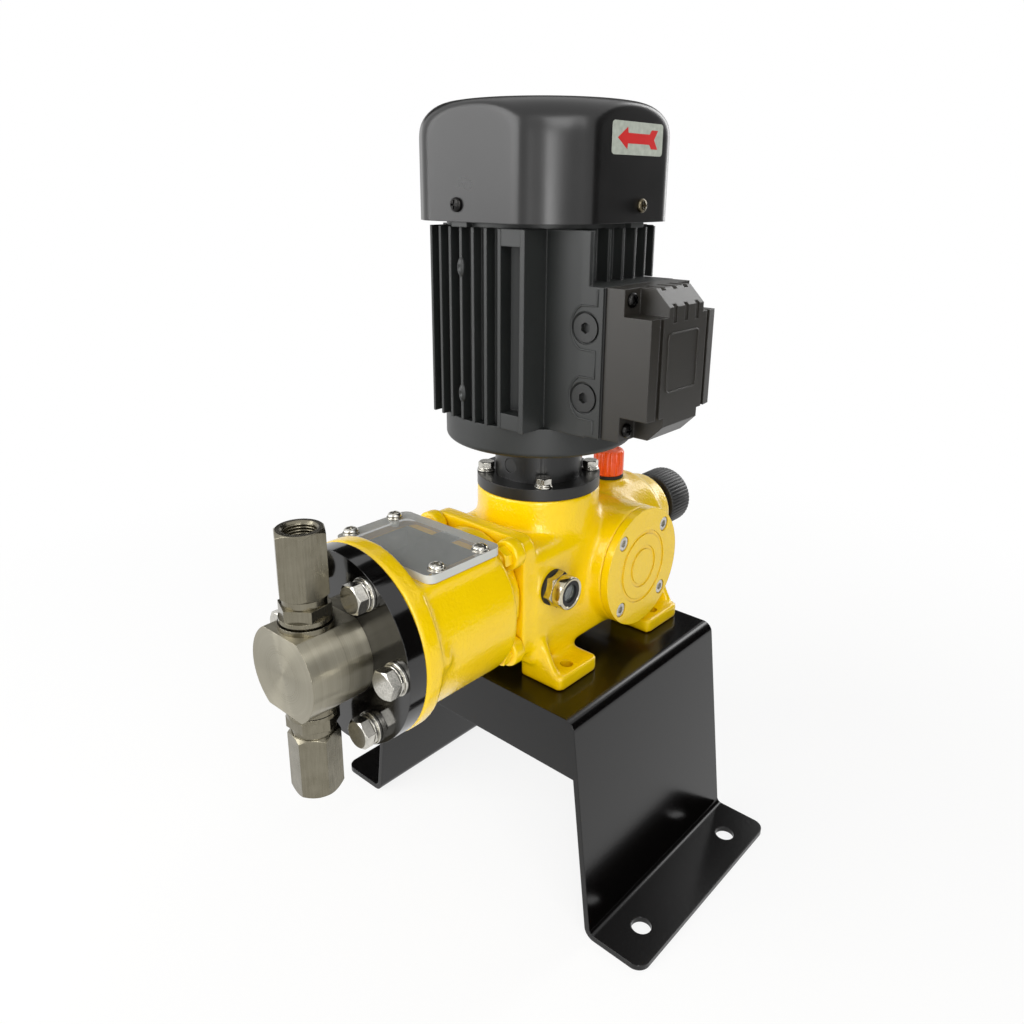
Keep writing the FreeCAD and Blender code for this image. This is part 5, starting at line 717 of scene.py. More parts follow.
tree, given = new_tree("wound_thread", {
    "Radius": "Float", "Pitch": "Float", "Turns": "Float", "Tooth": "Float", "Centre": "Vector"})
height = add(tree, "Math", {0: given["Pitch"], 1: given["Turns"]}, operation="MULTIPLY")
helix = add(tree, "GeometryNodeCurveSpiral", {
    "Resolution": 48, "Rotations": given["Turns"], "Start Radius": given["Radius"],
    "End Radius": given["Radius"], "Height": height})
tooth = add(tree, "GeometryNodeCurvePrimitiveCircle", {"Resolution": 6, "Radius": given["Tooth"]})
wound = add(tree, "GeometryNodeCurveToMesh", {"Curve": helix, "Profile Curve": tooth, "Fill Caps": True})
moved = add(tree, "GeometryNodeTransform", {"Geometry": wound, "Translation": given["Centre"]})
thread = end_tree(tree, moved, given)
print("trees:", [group.name for group in bpy.data.node_groups])

# %% [markdown]
# ## Castings
# The gearbox and the lantern are iron castings: their inner corners have fillets so that the iron flows,
# and sand and paint round their outer edges. Each is built from plain overlapping solids, and a voxel
# remesh melts them into one skin. A first pass then moves points outward only, which fills the inner
# corners and leaves the rest, and a second evens everything a little. Bores are cut last and stay crisp.

# %% Melt solids into one cast skin
CAST_VOXEL = 1.4 * MM
FILLET_ROUNDS, FILLET_PULL = 26, 0.9
EVEN_ROUNDS, EVEN_PULL = 5, 0.5


def numbers_of(items, key, width, kind=float):
    """One attribute of every item of a mesh, as rows of numbers."""
    values = np.empty(len(items) * width, dtype=kind)
    items.foreach_get(key, values)
    return values.reshape(-1, width)


def cast_skin(form, name):
    """One closed skin of overlapping solids, with filled inner corners and softened outer edges."""
    cast = as_object(form, name)
    melt = cast.modifiers.new("melt", "REMESH")
    melt.mode = "VOXEL"
    melt.voxel_size = CAST_VOXEL
    melt.use_smooth_shade = True
    mesh = made_plain(cast).data
    points = numbers_of(mesh.vertices, "co", 3)
    count = len(points)
    one, other = numbers_of(mesh.edges, "vertices", 2, np.int64).T
    joined = np.bincount(one, minlength=count) + np.bincount(other, minlength=count)
    for turn in range(FILLET_ROUNDS + EVEN_ROUNDS):
        pull = np.empty_like(points)
        for k in range(3):
            total = np.bincount(one, weights=points[other, k], minlength=count)
            total += np.bincount(other, weights=points[one, k], minlength=count)
            pull[:, k] = total / joined - points[:, k]
        if turn < FILLET_ROUNDS:
            normals = numbers_of(mesh.vertex_normals, "vector", 3)
            outward = np.maximum((pull * normals).sum(axis=1), 0)
            points += FILLET_PULL * outward[:, None] * normals
        else:
            points += EVEN_PULL * pull
        mesh.vertices.foreach_set("co", points.ravel())
        mesh.update()
    return cast


def cut_away(cast, cutters):
    """Subtracts each cutter from a piece and throws the cutters away."""
    for cutter in cutters:
        cut = cast.modifiers.new("cut", "BOOLEAN")
        cut.operation = "DIFFERENCE"
        cut.solver = "MANIFOLD"
        cut.object = cutter
    made_plain(cast)
    for cutter in cutters:
        bpy.data.objects.remove(cutter)
    return softened(cast, 40)


def rod(form, x, y, z, along, radius):
    """A cylinder from a place along a vector."""
    length = Vector(along).length
    turn_profile(form, [(0, 0), (0, radius), (length, radius), (length, 0)], Vector((x, y, z)), along, 72)


def bore(x, y, z, along, radius):
    """A cylinder as an object of its own, to cut with."""
    form = bmesh.new()
    rod(form, x, y, z, along, radius)
    return as_object(form, "bore")


def pocket(corners, low, high):
    """A straight-sided pocket between two heights, to cut with."""
    form = bmesh.new()
    push_outline(form, corners, level(low), (0, 0, high - low))
    return as_object(form, "pocket")


# %% [markdown]
# ### Gearbox
# A square flange in front, a box that holds the worm wheel, a round neck for the motor, a barrel across
# for the wheel's bearings, a boss behind for the stroke spindle, a small one for the filler, and four
# feet with gussets. The worm, wheel and yoke move inside it, so it is hollow, as the real one is.

# %% Solids of the gearbox
FLANGE_HALF = 44 * MM
FLANGE_DEPTH = 12 * MM
BOX_HALF = 45.5 * MM
BOX_BELOW = 52 * MM
BOX_ABOVE = 34 * MM
BARREL_HALF = 56.8 * MM
REAR_BOSS = 39 * MM
REAR_FACE = 29 * MM
REAR_SHOULDER = 92 * MM
CAP_BOSS = 14.5 * MM
CAP_SEAT = 268 * MM
FOOT_TOP = 10.6 * MM
FOOT_LENGTH = 43 * MM
FOOT_INNER = 29 * MM
FOOT_REACH = 64.5 * MM
FOOT_HOLES = ((-49 * MM, -68 * MM), (58.4 * MM, 39.4 * MM))  # x of the hole and of the foot's front
FOOT_HOLE_Y = 54.9 * MM
LEG = 26 * MM
GUSSET = 6 * MM
GUSSET_TOE = 5 * MM
GUSSET_RISE = 30 * MM
pz, mx = plunger_axis.z, motor_axis.x
wx, wz = wheel_axis.x, wheel_axis.z
barrel_radius = (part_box("side_cover_near")[1].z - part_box("side_cover_near")[0].z) / 2
neck_radius = (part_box("motor_adapter")[1].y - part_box("motor_adapter")[0].y) / 2
floor_z = gear_low.z
front_x = gear_low.x
body_x = front_x + FLANGE_DEPTH
cap_x = centre("filler_cap").x

form = bmesh.new()
square = oblong(-FLANGE_HALF, pz - FLANGE_HALF, FLANGE_HALF, pz + FLANGE_HALF, (10, 10, 10, 10))
push_outline(form, square, upright(front_x), (FLANGE_DEPTH, 0, 0))
section = oblong(-BOX_HALF, pz - BOX_BELOW, BOX_HALF, pz + BOX_ABOVE, (6, 6, 12, 12))
push_outline(form, section, upright(body_x - MM), (wx - body_x, 0, 0))
rod(form, mx, 0, pz + 10 * MM, (0, 0, gear_high.z - pz - 10 * MM), neck_radius)
rod(form, wx, -BARREL_HALF, wz, (0, 2 * BARREL_HALF, 0), barrel_radius)
drop = REAR_BOSS - REAR_FACE
boss_profile = [(0, 0), (0, REAR_BOSS), (REAR_SHOULDER - wx, REAR_BOSS)]
for k in range(1, 9):
    bend = math.radians(75) * k / 8
    boss_profile.append((REAR_SHOULDER - wx + drop * math.sin(bend),
                         REAR_BOSS - drop * (1 - math.cos(bend))))
boss_profile += [(gear_high.x - wx, REAR_FACE), (gear_high.x - wx, 0)]
turn_profile(form, boss_profile, Vector((wx, 0, pz)), (1, 0, 0), 96)
rod(form, cap_x, 0, pz, (0, 0, CAP_SEAT - pz), CAP_BOSS)
for hole_x, foot_x in FOOT_HOLES:
    rear = hole_x > wx
    leg_x = foot_x if rear else foot_x + FOOT_LENGTH - LEG
    gusset_x = foot_x + FOOT_LENGTH - GUSSET if rear else foot_x
    leg_height = (44 if rear else 34) * MM
    for side in (-1, 1):
        inner, outer = side * FOOT_INNER, side * FOOT_REACH
        wall = side * (BOX_HALF - 2 * MM)
        plate = oblong(foot_x, inner, foot_x + FOOT_LENGTH, outer, (0, 0, 4, 4))
        push_outline(form, plate, level(floor_z), (0, 0, FOOT_TOP))
        leg = oblong(leg_x, inner, leg_x + LEG, wall)
        push_outline(form, leg, level(floor_z), (0, 0, leg_height))
        toe = outer - side * GUSSET_TOE
        high = floor_z + FOOT_TOP + GUSSET_RISE
        brace = [(inner, floor_z), (toe, floor_z), (toe, floor_z + FOOT_TOP), (wall, high), (inner, high)]
        push_outline(form, brace, upright(gusset_x), (GUSSET, 0, 0))

# %% Cast the gearbox and bore it
ROOM_HALF = 37 * MM
gearbox = cast_skin(form, "gearbox_casting")
sight = centre("sight_glass_seals")
bores = [  # in this order: room, bearings, wheel, yoke, worm, filler, spindle, rod, oil seal, sight glass
    pocket(oblong(body_x - 3.5 * MM, -ROOM_HALF, wx, ROOM_HALF), pz - 43.5 * MM, pz + 25.5 * MM),
    bore(wx, -BARREL_HALF - MM, wz, (0, 2 * BARREL_HALF + 2 * MM, 0), 30.8 * MM),
    bore(wx, -ROOM_HALF, wz, (0, 2 * ROOM_HALF, 0), 38.7 * MM),
    bore(wx - MM, 0, pz, (69.1 * MM, 0, 0), 31 * MM),
    bore(mx, 0, pz + 24 * MM, (0, 0, 40 * MM), 30 * MM),
    bore(cap_x, 0, pz + 20 * MM, (0, 0, 30 * MM), 9 * MM),
    bore(wx + 60 * MM, 0, pz, (60 * MM, 0, 0), 14.05 * MM),
    bore(front_x - MM, 0, pz, (30 * MM, 0, 0), 16.05 * MM),
    bore(front_x - MM, 0, pz, (7.6 * MM, 0, 0), 20 * MM),
    bore(sight.x, -60 * MM, sight.z, (0, 40 * MM, 0), 8.05 * MM),
]
for hole_x, foot_x in FOOT_HOLES:
    for side in (-1, 1):
        bores.append(bore(hole_x, side * FOOT_HOLE_Y, floor_z - 3 * MM, (0, 0, 20 * MM), 4.5 * MM))
cut_away(gearbox, bores)
dress(gearbox, enamel, ["gearbox_housing"])

# %% [markdown]
# ### Lantern
# The lantern joins the pump head to the gearbox. Its front rim takes the flange bolts in round bosses
# that run out into the body, its top is a flat pad for the clear window, and four lugs bolt it to the
# gearbox flange.

# %% Solids of the lantern
RIM_DEPTH = 13 * MM
RIM_RADIUS = 61.5 * MM
BODY_RADIUS = 56 * MM
NECK_RADIUS = 42 * MM
NECK_LENGTH = 18.4 * MM
WINDOW_HALF = 44.5 * MM
LUG_REACH = (36 * MM, 35 * MM)
LUG_RADIUS = 10.5 * MM
LUG_DEPTH = 10 * MM
BOLT_CIRCLE = 50 * MM
BOLT_BOSS = in_mm([(0, 0), (0, 9.6), (9, 9.4), (15, 5), (16, 0)])
window_low, window_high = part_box("window_plate")
seat_z = window_low.z
rim_x = lantern_low.x
rim_end = rim_x + RIM_DEPTH - MM
shoulder_x = lantern_high.x - NECK_LENGTH

form = bmesh.new()
rod(form, rim_x, 0, pz, (RIM_DEPTH, 0, 0), RIM_RADIUS)
flat_half = math.acos((seat_z - pz) / BODY_RADIUS)
barrel = []
for k in range(81):
    angle = math.pi / 2 + flat_half + (2 * math.pi - 2 * flat_half) * k / 80
    barrel.append((BODY_RADIUS * math.cos(angle), pz + BODY_RADIUS * math.sin(angle)))
push_outline(form, barrel, upright(rim_end), (shoulder_x - rim_x - RIM_DEPTH + MM, 0, 0))
rod(form, shoulder_x - MM, 0, pz, (NECK_LENGTH + MM, 0, 0), NECK_RADIUS)
pad = oblong(rim_end, -WINDOW_HALF, window_high.x, WINDOW_HALF, (0, 6, 6, 0))
push_outline(form, pad, level(pz), (0, 0, seat_z - pz))
for k in range(6):
    angle = math.radians(60 * k)
    y, z = BOLT_CIRCLE * math.cos(angle), pz + BOLT_CIRCLE * math.sin(angle)
    if z < pz + 10 * MM:
        turn_profile(form, BOLT_BOSS, Vector((rim_end, y, z)), (1, 0, 0), 48)
for side_y in (-1, 1):
    for side_z in (-1, 1):
        rod(form, lantern_high.x - LUG_DEPTH, side_y * LUG_REACH[0], pz + side_z * LUG_REACH[1],
            (LUG_DEPTH, 0, 0), LUG_RADIUS)
lantern = cast_skin(form, "lantern_casting")

# %% Bore the lantern and open its window
OPENING_HALF = (23.5 * MM, 33 * MM)
BORE_RADIUS = 44 * MM
screw_x = window_low.x + 28.2 * MM
opening = oblong(screw_x - OPENING_HALF[0], -OPENING_HALF[1], screw_x + OPENING_HALF[0], OPENING_HALF[1])
cut_away(lantern, [
    bore(rim_x + 18.6 * MM, 0, pz, (shoulder_x - rim_x - 23.6 * MM, 0, 0), BORE_RADIUS),
    bore(rim_x - MM, 0, pz, (20 * MM, 0, 0), 22.05 * MM),
    bore(shoulder_x - 6 * MM, 0, pz, (NECK_LENGTH + 8 * MM, 0, 0), 22 * MM),
    pocket(opening, pz, seat_z + 3 * MM),
])
dress(lantern, enamel, ["lantern"])

# %% [markdown]
# The inside of the lantern was machined after casting and never painted. Its faces lie on the bore or
# on the walls of the window opening, and they take a second finish, seen through the window.

# %% Bare iron inside the lantern
NEAR = 0.2 * MM
lantern.data.materials.append(bored_iron)
for face in lantern.data.polygons:
    middle = face.center
    in_bore = (rim_x + 18 * MM < middle.x < shoulder_x - 4 * MM
               and math.hypot(middle.y, middle.z - pz) < BORE_RADIUS + NEAR)
    in_opening = (abs(middle.x - screw_x) < OPENING_HALF[0] + NEAR
                  and abs(middle.y) < OPENING_HALF[1] + NEAR and pz - NEAR < middle.z < seat_z - NEAR)
    face.material_index = int(in_bore or in_opening)
print("bare faces inside the lantern:", sum(face.material_index for face in lantern.data.polygons))

# %% [markdown]
# ## Fasteners
# Bolts decide how large a machine looks, so they get real detail: hexagons with turned corners, a washer
# face, a flat and a spring washer, a cross in the small ones. Each is modelled once and repeated by a
# tree. Where a tree turns copies round an axis, the first is built in its own place.

# %% The six flange bolts with their washers
FLAT_WASHER = (10.0, 2.0)
SPRING_WASHER = (9.0, 2.4 * 0.92)  # its height is what is left when it is squeezed
BOLT_FLATS = 16.5
BOLT_HEAD = 6.6
FORWARD = Vector((-1, 0, 0))
UPWARD = Vector((0, 0, 1))


def soft_disc(form, radius, height, start, along, edge=0.35 * MM):
    """A washer or a disc with rounded rims."""
    turn_profile(form, [(0, 0), (0, radius - edge), (edge, radius), (height - edge, radius),
                        (height, radius - edge), (height, 0)], start, along, 56)


def bolt(name, seat, along, discs, flats, height, offset, roll):
    """Washers of (radius, height, offset along the bolt) under a hexagon head, all in millimetres."""
    form = bmesh.new()
    for radius, thick, place in discs:
        soft_disc(form, radius * MM, thick * MM, seat + along * (place * MM), along)
    turned_hexagon(form, flats * MM, height * MM, seat + along * (offset * MM), along, roll)
    return as_object(form, name, 28.0)


under_head = FLAT_WASHER[1] + SPRING_WASHER[1]
discs = [(*FLAT_WASHER, 0), (*SPRING_WASHER, FLAT_WASHER[1]), (BOLT_FLATS * 0.47, 0.5, under_head)]
one = bolt("one_flange_bolt", Vector((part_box("pump_flange")[0].x, BOLT_CIRCLE, pz)), FORWARD, discs,
           BOLT_FLATS, BOLT_HEAD, under_head + 0.4, 0.2)
repeat(turned_copies, one, "flange_bolt_heads", bolt_steel, "steel",
       ["pump_flange_bolts", "pump_flange_washers"], Count=6, Centre=tuple(plunger_axis), Axis=(1, 0, 0))

# %% The four bolts of the motor adapter
ADAPTER_FLANGE = 8.2 * MM
ADAPTER_RING = 37.5 * MM
reach = ADAPTER_RING * math.cos(math.pi / 4)
one = bolt("one_adapter_bolt", Vector((mx + reach, reach, gear_high.z + ADAPTER_FLANGE)), UPWARD,
           [(6.2, 1.6, 0), (5.6, 1.3, 1.55)], 10, 4.2, 2.8, 0.3)
repeat(turned_copies, one, "adapter_bolt_heads", bolt_steel, "steel",
       ["motor_adapter_bolts"], Count=4, Centre=tuple(motor_axis), Axis=(0, 0, 1))


# %% A pan head screw with a cross recess
def pan_screw(name, radius, height, washer_radius=0.0, washer_height=0.0):
    """One screw that points up, its seat at the origin: washer, domed head and a cross cut into it."""
    form = bmesh.new()
    if washer_radius:
        soft_disc(form, washer_radius, washer_height, Vector(), UPWARD, 0.2 * MM)
    profile = [(washer_height, 0), (washer_height, radius * 0.96)]
    for k in range(9):
        bend = math.radians(90) * k / 8
        rise = height * (0.3 + 0.7 * math.sin(bend))
        profile.append((washer_height + rise, radius * math.cos(bend) ** 0.6))
    turn_profile(form, profile, Vector(), UPWARD, 40)
    top = washer_height + height
    long, short = radius * 0.62, radius * 0.15
    cross = [pocket(oblong(-a, -b, a, b), top - height * 0.55, top + height)
             for a, b in ((long, short), (short, long))]
    return cut_away(as_object(form, name, 40.0), cross)


# %% Window screws, and the painted nuts that hold the lantern
repeat(grid_copies, pan_screw("one_window_screw", 4.8 * MM, 3.2 * MM, 5.6 * MM, 1 * MM),
       "window_screw_heads", bolt_steel, "steel", ["window_screws"], Wide=36.5 * MM, Deep=79 * MM,
       Centre=(screw_x, 0, window_high.z), Turn=(0, 0, 0))

form = bmesh.new()
turned_hexagon(form, 13 * MM, 6.5 * MM, Vector(), UPWARD, 0.15)
soft_disc(form, 4 * MM, 8 * MM, Vector(), UPWARD, 0.6 * MM)
repeat(grid_copies, as_object(form, "one_lantern_nut", 28.0), "lantern_nut_set", enamel, "yellow",
       ["lantern_studs"], Wide=2 * LUG_REACH[1], Deep=2 * LUG_REACH[0],
       Centre=(lantern_high.x - LUG_DEPTH, 0, pz), Turn=(0, -math.pi / 2, 0))

# %% Lid screws and cowl screws
SMALL_HEAD = 4.4 * MM
LID_SCREW_INSET = (7 * MM, 6.5 * MM)
LID_LEDGE_Y = -97.3 * MM
COWL_SCREW_RISE = 10 * MM
COWL_SCREW_OFFSET = 9.8 * MM
COWL_PANEL = 69.5 * MM
lid_low, lid_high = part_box("terminal_lid")
cowl_low, cowl_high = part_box("fan_cowl")
repeat(grid_copies, pan_screw("one_lid_screw", SMALL_HEAD, 3 * MM), "lid_screw_heads",
       black_screw, "steel_dark", ["motor_cover_screws"],
       Wide=lid_high.x - lid_low.x - 2 * LID_SCREW_INSET[0],
       Deep=lid_high.z - lid_low.z - 2 * LID_SCREW_INSET[1],
       Centre=((lid_low.x + lid_high.x) / 2, LID_LEDGE_Y, (lid_low.z + lid_high.z) / 2),
       Turn=(math.pi / 2, 0, 0))

pair = [((mx - COWL_PANEL, COWL_SCREW_OFFSET), (0, -math.pi / 2, 0), black_screw),
        ((mx + COWL_SCREW_OFFSET, -COWL_PANEL), (math.pi / 2, 0, 0), old_brass)]
for number, ((x, y), facing, finish) in enumerate(pair):
    screw = pan_screw("one_cowl_screw", SMALL_HEAD, 2.8 * MM)
    seat = Matrix.Translation((x, y, cowl_low.z + COWL_SCREW_RISE))
    screw.data.transform(seat @ Euler(facing).to_matrix().to_4x4())
    repeat(turned_copies, screw, "cowl_screw_heads_" + str(number + 1), finish, "steel_dark",
           Count=2, Centre=tuple(motor_axis), Axis=(0, 0, 1))

# %% [markdown]
# ## Things that lie on a surface
# The label, its arrow and the cast outlines follow the surface they sit on. A ray is cast from outside
# onto the part for every point, so the point lands exactly on the skin.

# %% Find points on a part's surface
def skin_of(piece):
    """A search tree of one object's faces."""
    mesh = piece.data
    return BVHTree.FromPolygons([v.co for v in mesh.vertices], [tuple(p.vertices) for p in mesh.polygons])


def landed(skin, start, direction, lift):
    """Where a ray meets the skin, lifted off it along the surface's normal."""
    hit, normal, _, _ = skin.ray_cast(Vector(start), Vector(direction))
    return hit + normal * lift


def draped_sheet(name, rows, skin, direction, thickness):
    """A thin sheet of rows of (x, y, z) starts, dropped on a skin and given a thickness."""
    form = bmesh.new()
    low, high = ([[form.verts.new(landed(skin, p, direction, lift)) for p in row] for row in rows]
                 for lift in (0.02 * MM, thickness))
    last_i, last_j = len(rows) - 1, len(rows[0]) - 1
    for i in range(last_i):
        for j in range(last_j):
            form.faces.new((high[i][j], high[i][j + 1], high[i + 1][j + 1], high[i + 1][j]))
            form.faces.new((low[i][j], low[i + 1][j], low[i + 1][j + 1], low[i][j + 1]))
    for i in range(last_i):
        for j in (0, last_j):
            form.faces.new((low[i][j], high[i][j], high[i + 1][j], low[i + 1][j]))
    for j in range(last_j):
        for i in (0, last_i):
            form.faces.new((low[i][j], high[i][j], high[i][j + 1], low[i][j + 1]))
    return as_object(form, name)


# %% [markdown]
# ## Fan cowl
# The cowl is pressed from one sheet: flat panels, a column down each corner, and a domed top, with soft
# valleys between. Its cross section is measured from the CAD part, one ray for each degree, and smoothed,
# because sheet steel does not turn sharply. The dome meets the panels in a soft minimum, which gives the
# arched creases. The grille's slots are left open, and Solidify gives the sheet its thickness.

# %% Section and dome of the cowl
COWL_SHEET = 1.6 * MM
COWL_DOME = 80.5 * MM
COWL_SHOULDER = 22 * MM
COWL_SOFT = 3.2 * MM
SECTION_HEIGHT = 485 * MM
STEPS_ROUND = 360
SECTION_BLUR = 3
GRILLE_HUB = 6 * MM
GRILLE_RING = (18 * MM, 11 * MM, 4.5 * MM)  # middle of the first slot, pitch and width
GRILLE_SLOTS = 4
GRILLE_SPOKE = 2.2 * MM
SPOKE_ANGLE = math.pi / 3
cad_cowl = skin_of(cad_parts["fan_cowl"])
middle = Vector((mx, 0, SECTION_HEIGHT))
round_turn = [2 * math.pi * k / STEPS_ROUND for k in range(STEPS_ROUND)]
section = []
for angle in round_turn:
    out = Vector((math.cos(angle), math.sin(angle), 0))
    section.append((cad_cowl.ray_cast(middle + out * 0.15, -out)[0] - middle).length)
section = np.array(section)
for _ in range(SECTION_BLUR):
    section = 0.25 * np.roll(section, 2) + 0.5 * section + 0.25 * np.roll(section, -2)


def soft_minimum(a, b):
    """The smaller of two lengths, with the corner between them rounded."""
    blend = max(COWL_SOFT - abs(a - b), 0) / COWL_SOFT
    return min(a, b) - blend * blend * COWL_SOFT / 4


edges = [0.0, GRILLE_HUB]
for k in range(GRILLE_SLOTS):
    reach = GRILLE_RING[0] + k * GRILLE_RING[1]
    edges += [reach - GRILLE_RING[2] / 2, reach + GRILLE_RING[2] / 2]
dome = [(reach, cowl_high.z) for reach in edges]
for k in range(15):
    bend = math.radians(90) * k / 14
    dome.append((COWL_DOME - COWL_SHOULDER * (1 - math.sin(bend)),
                 cowl_high.z - COWL_SHOULDER * (1 - math.cos(bend))))
side_top = cowl_high.z - COWL_SHOULDER
dome += [(COWL_DOME, side_top + (cowl_low.z - side_top) * k / 8) for k in range(1, 9)]
print("cowl section from", round(section.min() / MM, 1), "to", round(section.max() / MM, 1), "mm")

# %% Build the cowl
def on_spoke(k, reach):
    """Whether a face of the grille lies on one of its spokes."""
    from_spoke = (k + 0.5) * 2 * math.pi / STEPS_ROUND % SPOKE_ANGLE
    return min(from_spoke, SPOKE_ANGLE - from_spoke) * reach <= GRILLE_SPOKE


form = bmesh.new()
rings = [[form.verts.new((mx, 0, cowl_high.z))]]
for reach, height in dome[1:]:
    ring = []
    for k, angle in enumerate(round_turn):
        radius = soft_minimum(reach, section[k])
        ring.append(form.verts.new((mx + radius * math.cos(angle), radius * math.sin(angle), height)))
    rings.append(ring)
for number, (inner, outer) in enumerate(zip(rings, rings[1:])):
    reach = (dome[number][0] + dome[number + 1][0]) / 2
    slotted = number in range(2, 2 * GRILLE_SLOTS + 1, 2)
    bridge(form, inner, outer, lambda k: not slotted or on_spoke(k, reach))
cowl = as_object(form, "pressed_cowl", 60)
wall = cowl.modifiers.new("sheet", "SOLIDIFY")
wall.thickness = COWL_SHEET
wall.offset = -1
softened(made_plain(cowl), 50)
dress(cowl, cowl_lacquer, ["fan_cowl"])

# %% The foil label and its arrow
LABEL_CENTRE = (-13.5 * MM, 516 * MM)
LABEL_SIZE = (53 * MM, 18.5 * MM)
LABEL_CORNER = 2 * MM
FROM_Y = -0.12
TOWARDS_BACK = (0, 1, 0)
cowl_skin = skin_of(cowl)
rows = []
for i in range(25):
    z = LABEL_SIZE[1] * (i / 24 - 0.5)
    into = max(abs(z) - (LABEL_SIZE[1] / 2 - LABEL_CORNER), 0)
    half = LABEL_SIZE[0] / 2 - LABEL_CORNER + math.sqrt(max(LABEL_CORNER ** 2 - into ** 2, 0))
    rows.append([(LABEL_CENTRE[0] + half * (j / 30 - 1), FROM_Y, LABEL_CENTRE[1] + z) for j in range(61)])
dress(draped_sheet("direction_label", rows, cowl_skin, TOWARDS_BACK, 0.14 * MM), foil)

ARROW_LENGTH = 42 * MM
ARROW_HEAD = (10 * MM, 6.2 * MM)
ARROW_SHAFT = 2.9 * MM
ARROW_TAIL = (9 * MM, 5.4 * MM)
ARROW_NOTCH = 4 * MM
tip_x = LABEL_CENTRE[0] - ARROW_LENGTH / 2
columns = []
for k in range(81):
    along = ARROW_LENGTH * k / 80
    left = ARROW_LENGTH - along
    half = ARROW_SHAFT
    if along < ARROW_HEAD[0]:
        half = ARROW_HEAD[1] * along / ARROW_HEAD[0]
    elif left < ARROW_TAIL[0]:
        half = ARROW_SHAFT + (ARROW_TAIL[1] - ARROW_SHAFT) * min(1, (ARROW_TAIL[0] - left) / (2 * MM))
    notch = max(0.0, 1 - left / ARROW_TAIL[0]) * ARROW_NOTCH
    columns.append([(tip_x + along - notch * (1 - abs(share)), FROM_Y, LABEL_CENTRE[1] + half * share)
                    for share in (-1, -0.5, 0, 0.5, 1)])
dress(draped_sheet("direction_arrow", columns, cowl_skin, TOWARDS_BACK, 0.2 * MM), red_ink)

# %% [markdown]
# ### Outlines cast into the motor
# The flat beside the fins carries a raised outline round both cable plugs, and the lid of the terminal
# box has an outlined panel. Both are lines swept with a small bead whose middle lies on the skin.

# %% The outline round the plugs, the rings and the lid panel
PLUG_Y = -71.8 * MM
PLUG_HEIGHTS = (409.7 * MM, 367.5 * MM)
PLUG_RIM = 9.6 * MM
BULGE = (10.4 * MM, 13.5 * MM)
OUTLINE_Y = -79.4 * MM


def bead_on(name, points, radius, finish, closed=False):
    """A bead along a line of points, dressed as part of the black motor."""
    mesh = bpy.data.meshes.new("line")
    edges = [(k, k + 1) for k in range(len(points) - 1)]
    mesh.from_pydata(points, edges + [(len(points) - 1, 0)] * closed, [])
    dress(grow(bead_line, name, {"Bead": radius, "Finish": finish}, mesh), finish)


outline = [(-80 * MM, 432.5 * MM), (-80 * MM, PLUG_HEIGHTS[0] + BULGE[1])]
for height in PLUG_HEIGHTS:
    for k in range(19):
        angle = math.radians(72 - 144 * k / 18)
        outline.append((PLUG_Y + BULGE[0] * math.cos(angle), height + BULGE[1] * math.sin(angle)))
    outline.append((OUTLINE_Y, height - BULGE[1] + 0.5 * MM))
    if height == PLUG_HEIGHTS[0]:
        outline.append((OUTLINE_Y, PLUG_HEIGHTS[1] + BULGE[1] - 0.5 * MM))
outline.append((OUTLINE_Y, 346 * MM))
frame_skin = skin_of(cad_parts["motor_frame"])
points = [landed(frame_skin, (-0.2, y, z), (1, 0, 0), 0) for y, z in outline]
bead_on("plug_outline", points, 0.75 * MM, frame_paint)

rim_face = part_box("blanking_plugs")[0].x + 1.4 * MM
turns = [2 * math.pi * k / 48 for k in range(48)]
for number, height in enumerate(PLUG_HEIGHTS):
    ring = [(rim_face, PLUG_Y + PLUG_RIM * math.cos(a), height + PLUG_RIM * math.sin(a)) for a in turns]
    bead_on("plug_rim_" + str(number + 1), ring, 0.6 * MM, frame_paint, True)

lid_skin = skin_of(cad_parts["terminal_lid"])
panel = oblong(-43.6 * MM, 374.5 * MM, -10.6 * MM, 409 * MM, (3, 3, 3, 3))
points = [landed(lid_skin, (p[0], -0.2, p[1]), TOWARDS_BACK, 0) for p in panel]
bead_on("lid_panel_outline", points, 0.6 * MM, lid_paint, True)

# %% Rivet bosses on the fourth fin
RIVET_HALF = (2.2 * MM, 2.9 * MM, 6.2 * MM)
RIVET_Y = 11 * MM
RIVET_HEIGHTS = (440.8 * MM, 360.6 * MM)
DIMPLE = (1.5 * MM, 1.2 * MM, 1.6 * MM)
fin_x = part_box("motor_frame")[0].x
for number, height in enumerate(RIVET_HEIGHTS):
    form = bmesh.new()
    bmesh.ops.create_uvsphere(form, u_segments=40, v_segments=24, radius=1.0)
    for v in form.verts:
        v.co = [a * b for a, b in zip(v.co, RIVET_HALF)]
        if v.co.x < -DIMPLE[0] and abs(v.co.y) < DIMPLE[1] and abs(v.co.z) < DIMPLE[2]:
            v.co.x += 0.8 * MM
    bmesh.ops.translate(form, verts=form.verts, vec=(fin_x + 1 * MM, RIVET_Y, height))
    dress(as_object(form, "rivet_boss_" + str(number + 1), 60), frame_paint)

# %% [markdown]
# ## Knob, filler cap and sight glass
# A hand or an eye goes to these three. The knob has fine flutes, the cap wide ribs, and the sight glass
# a nickel body with a hexagon for the spanner and a rim round its lens. All are turned profiles, and the
# grips get their ribs from a wave on the radius.

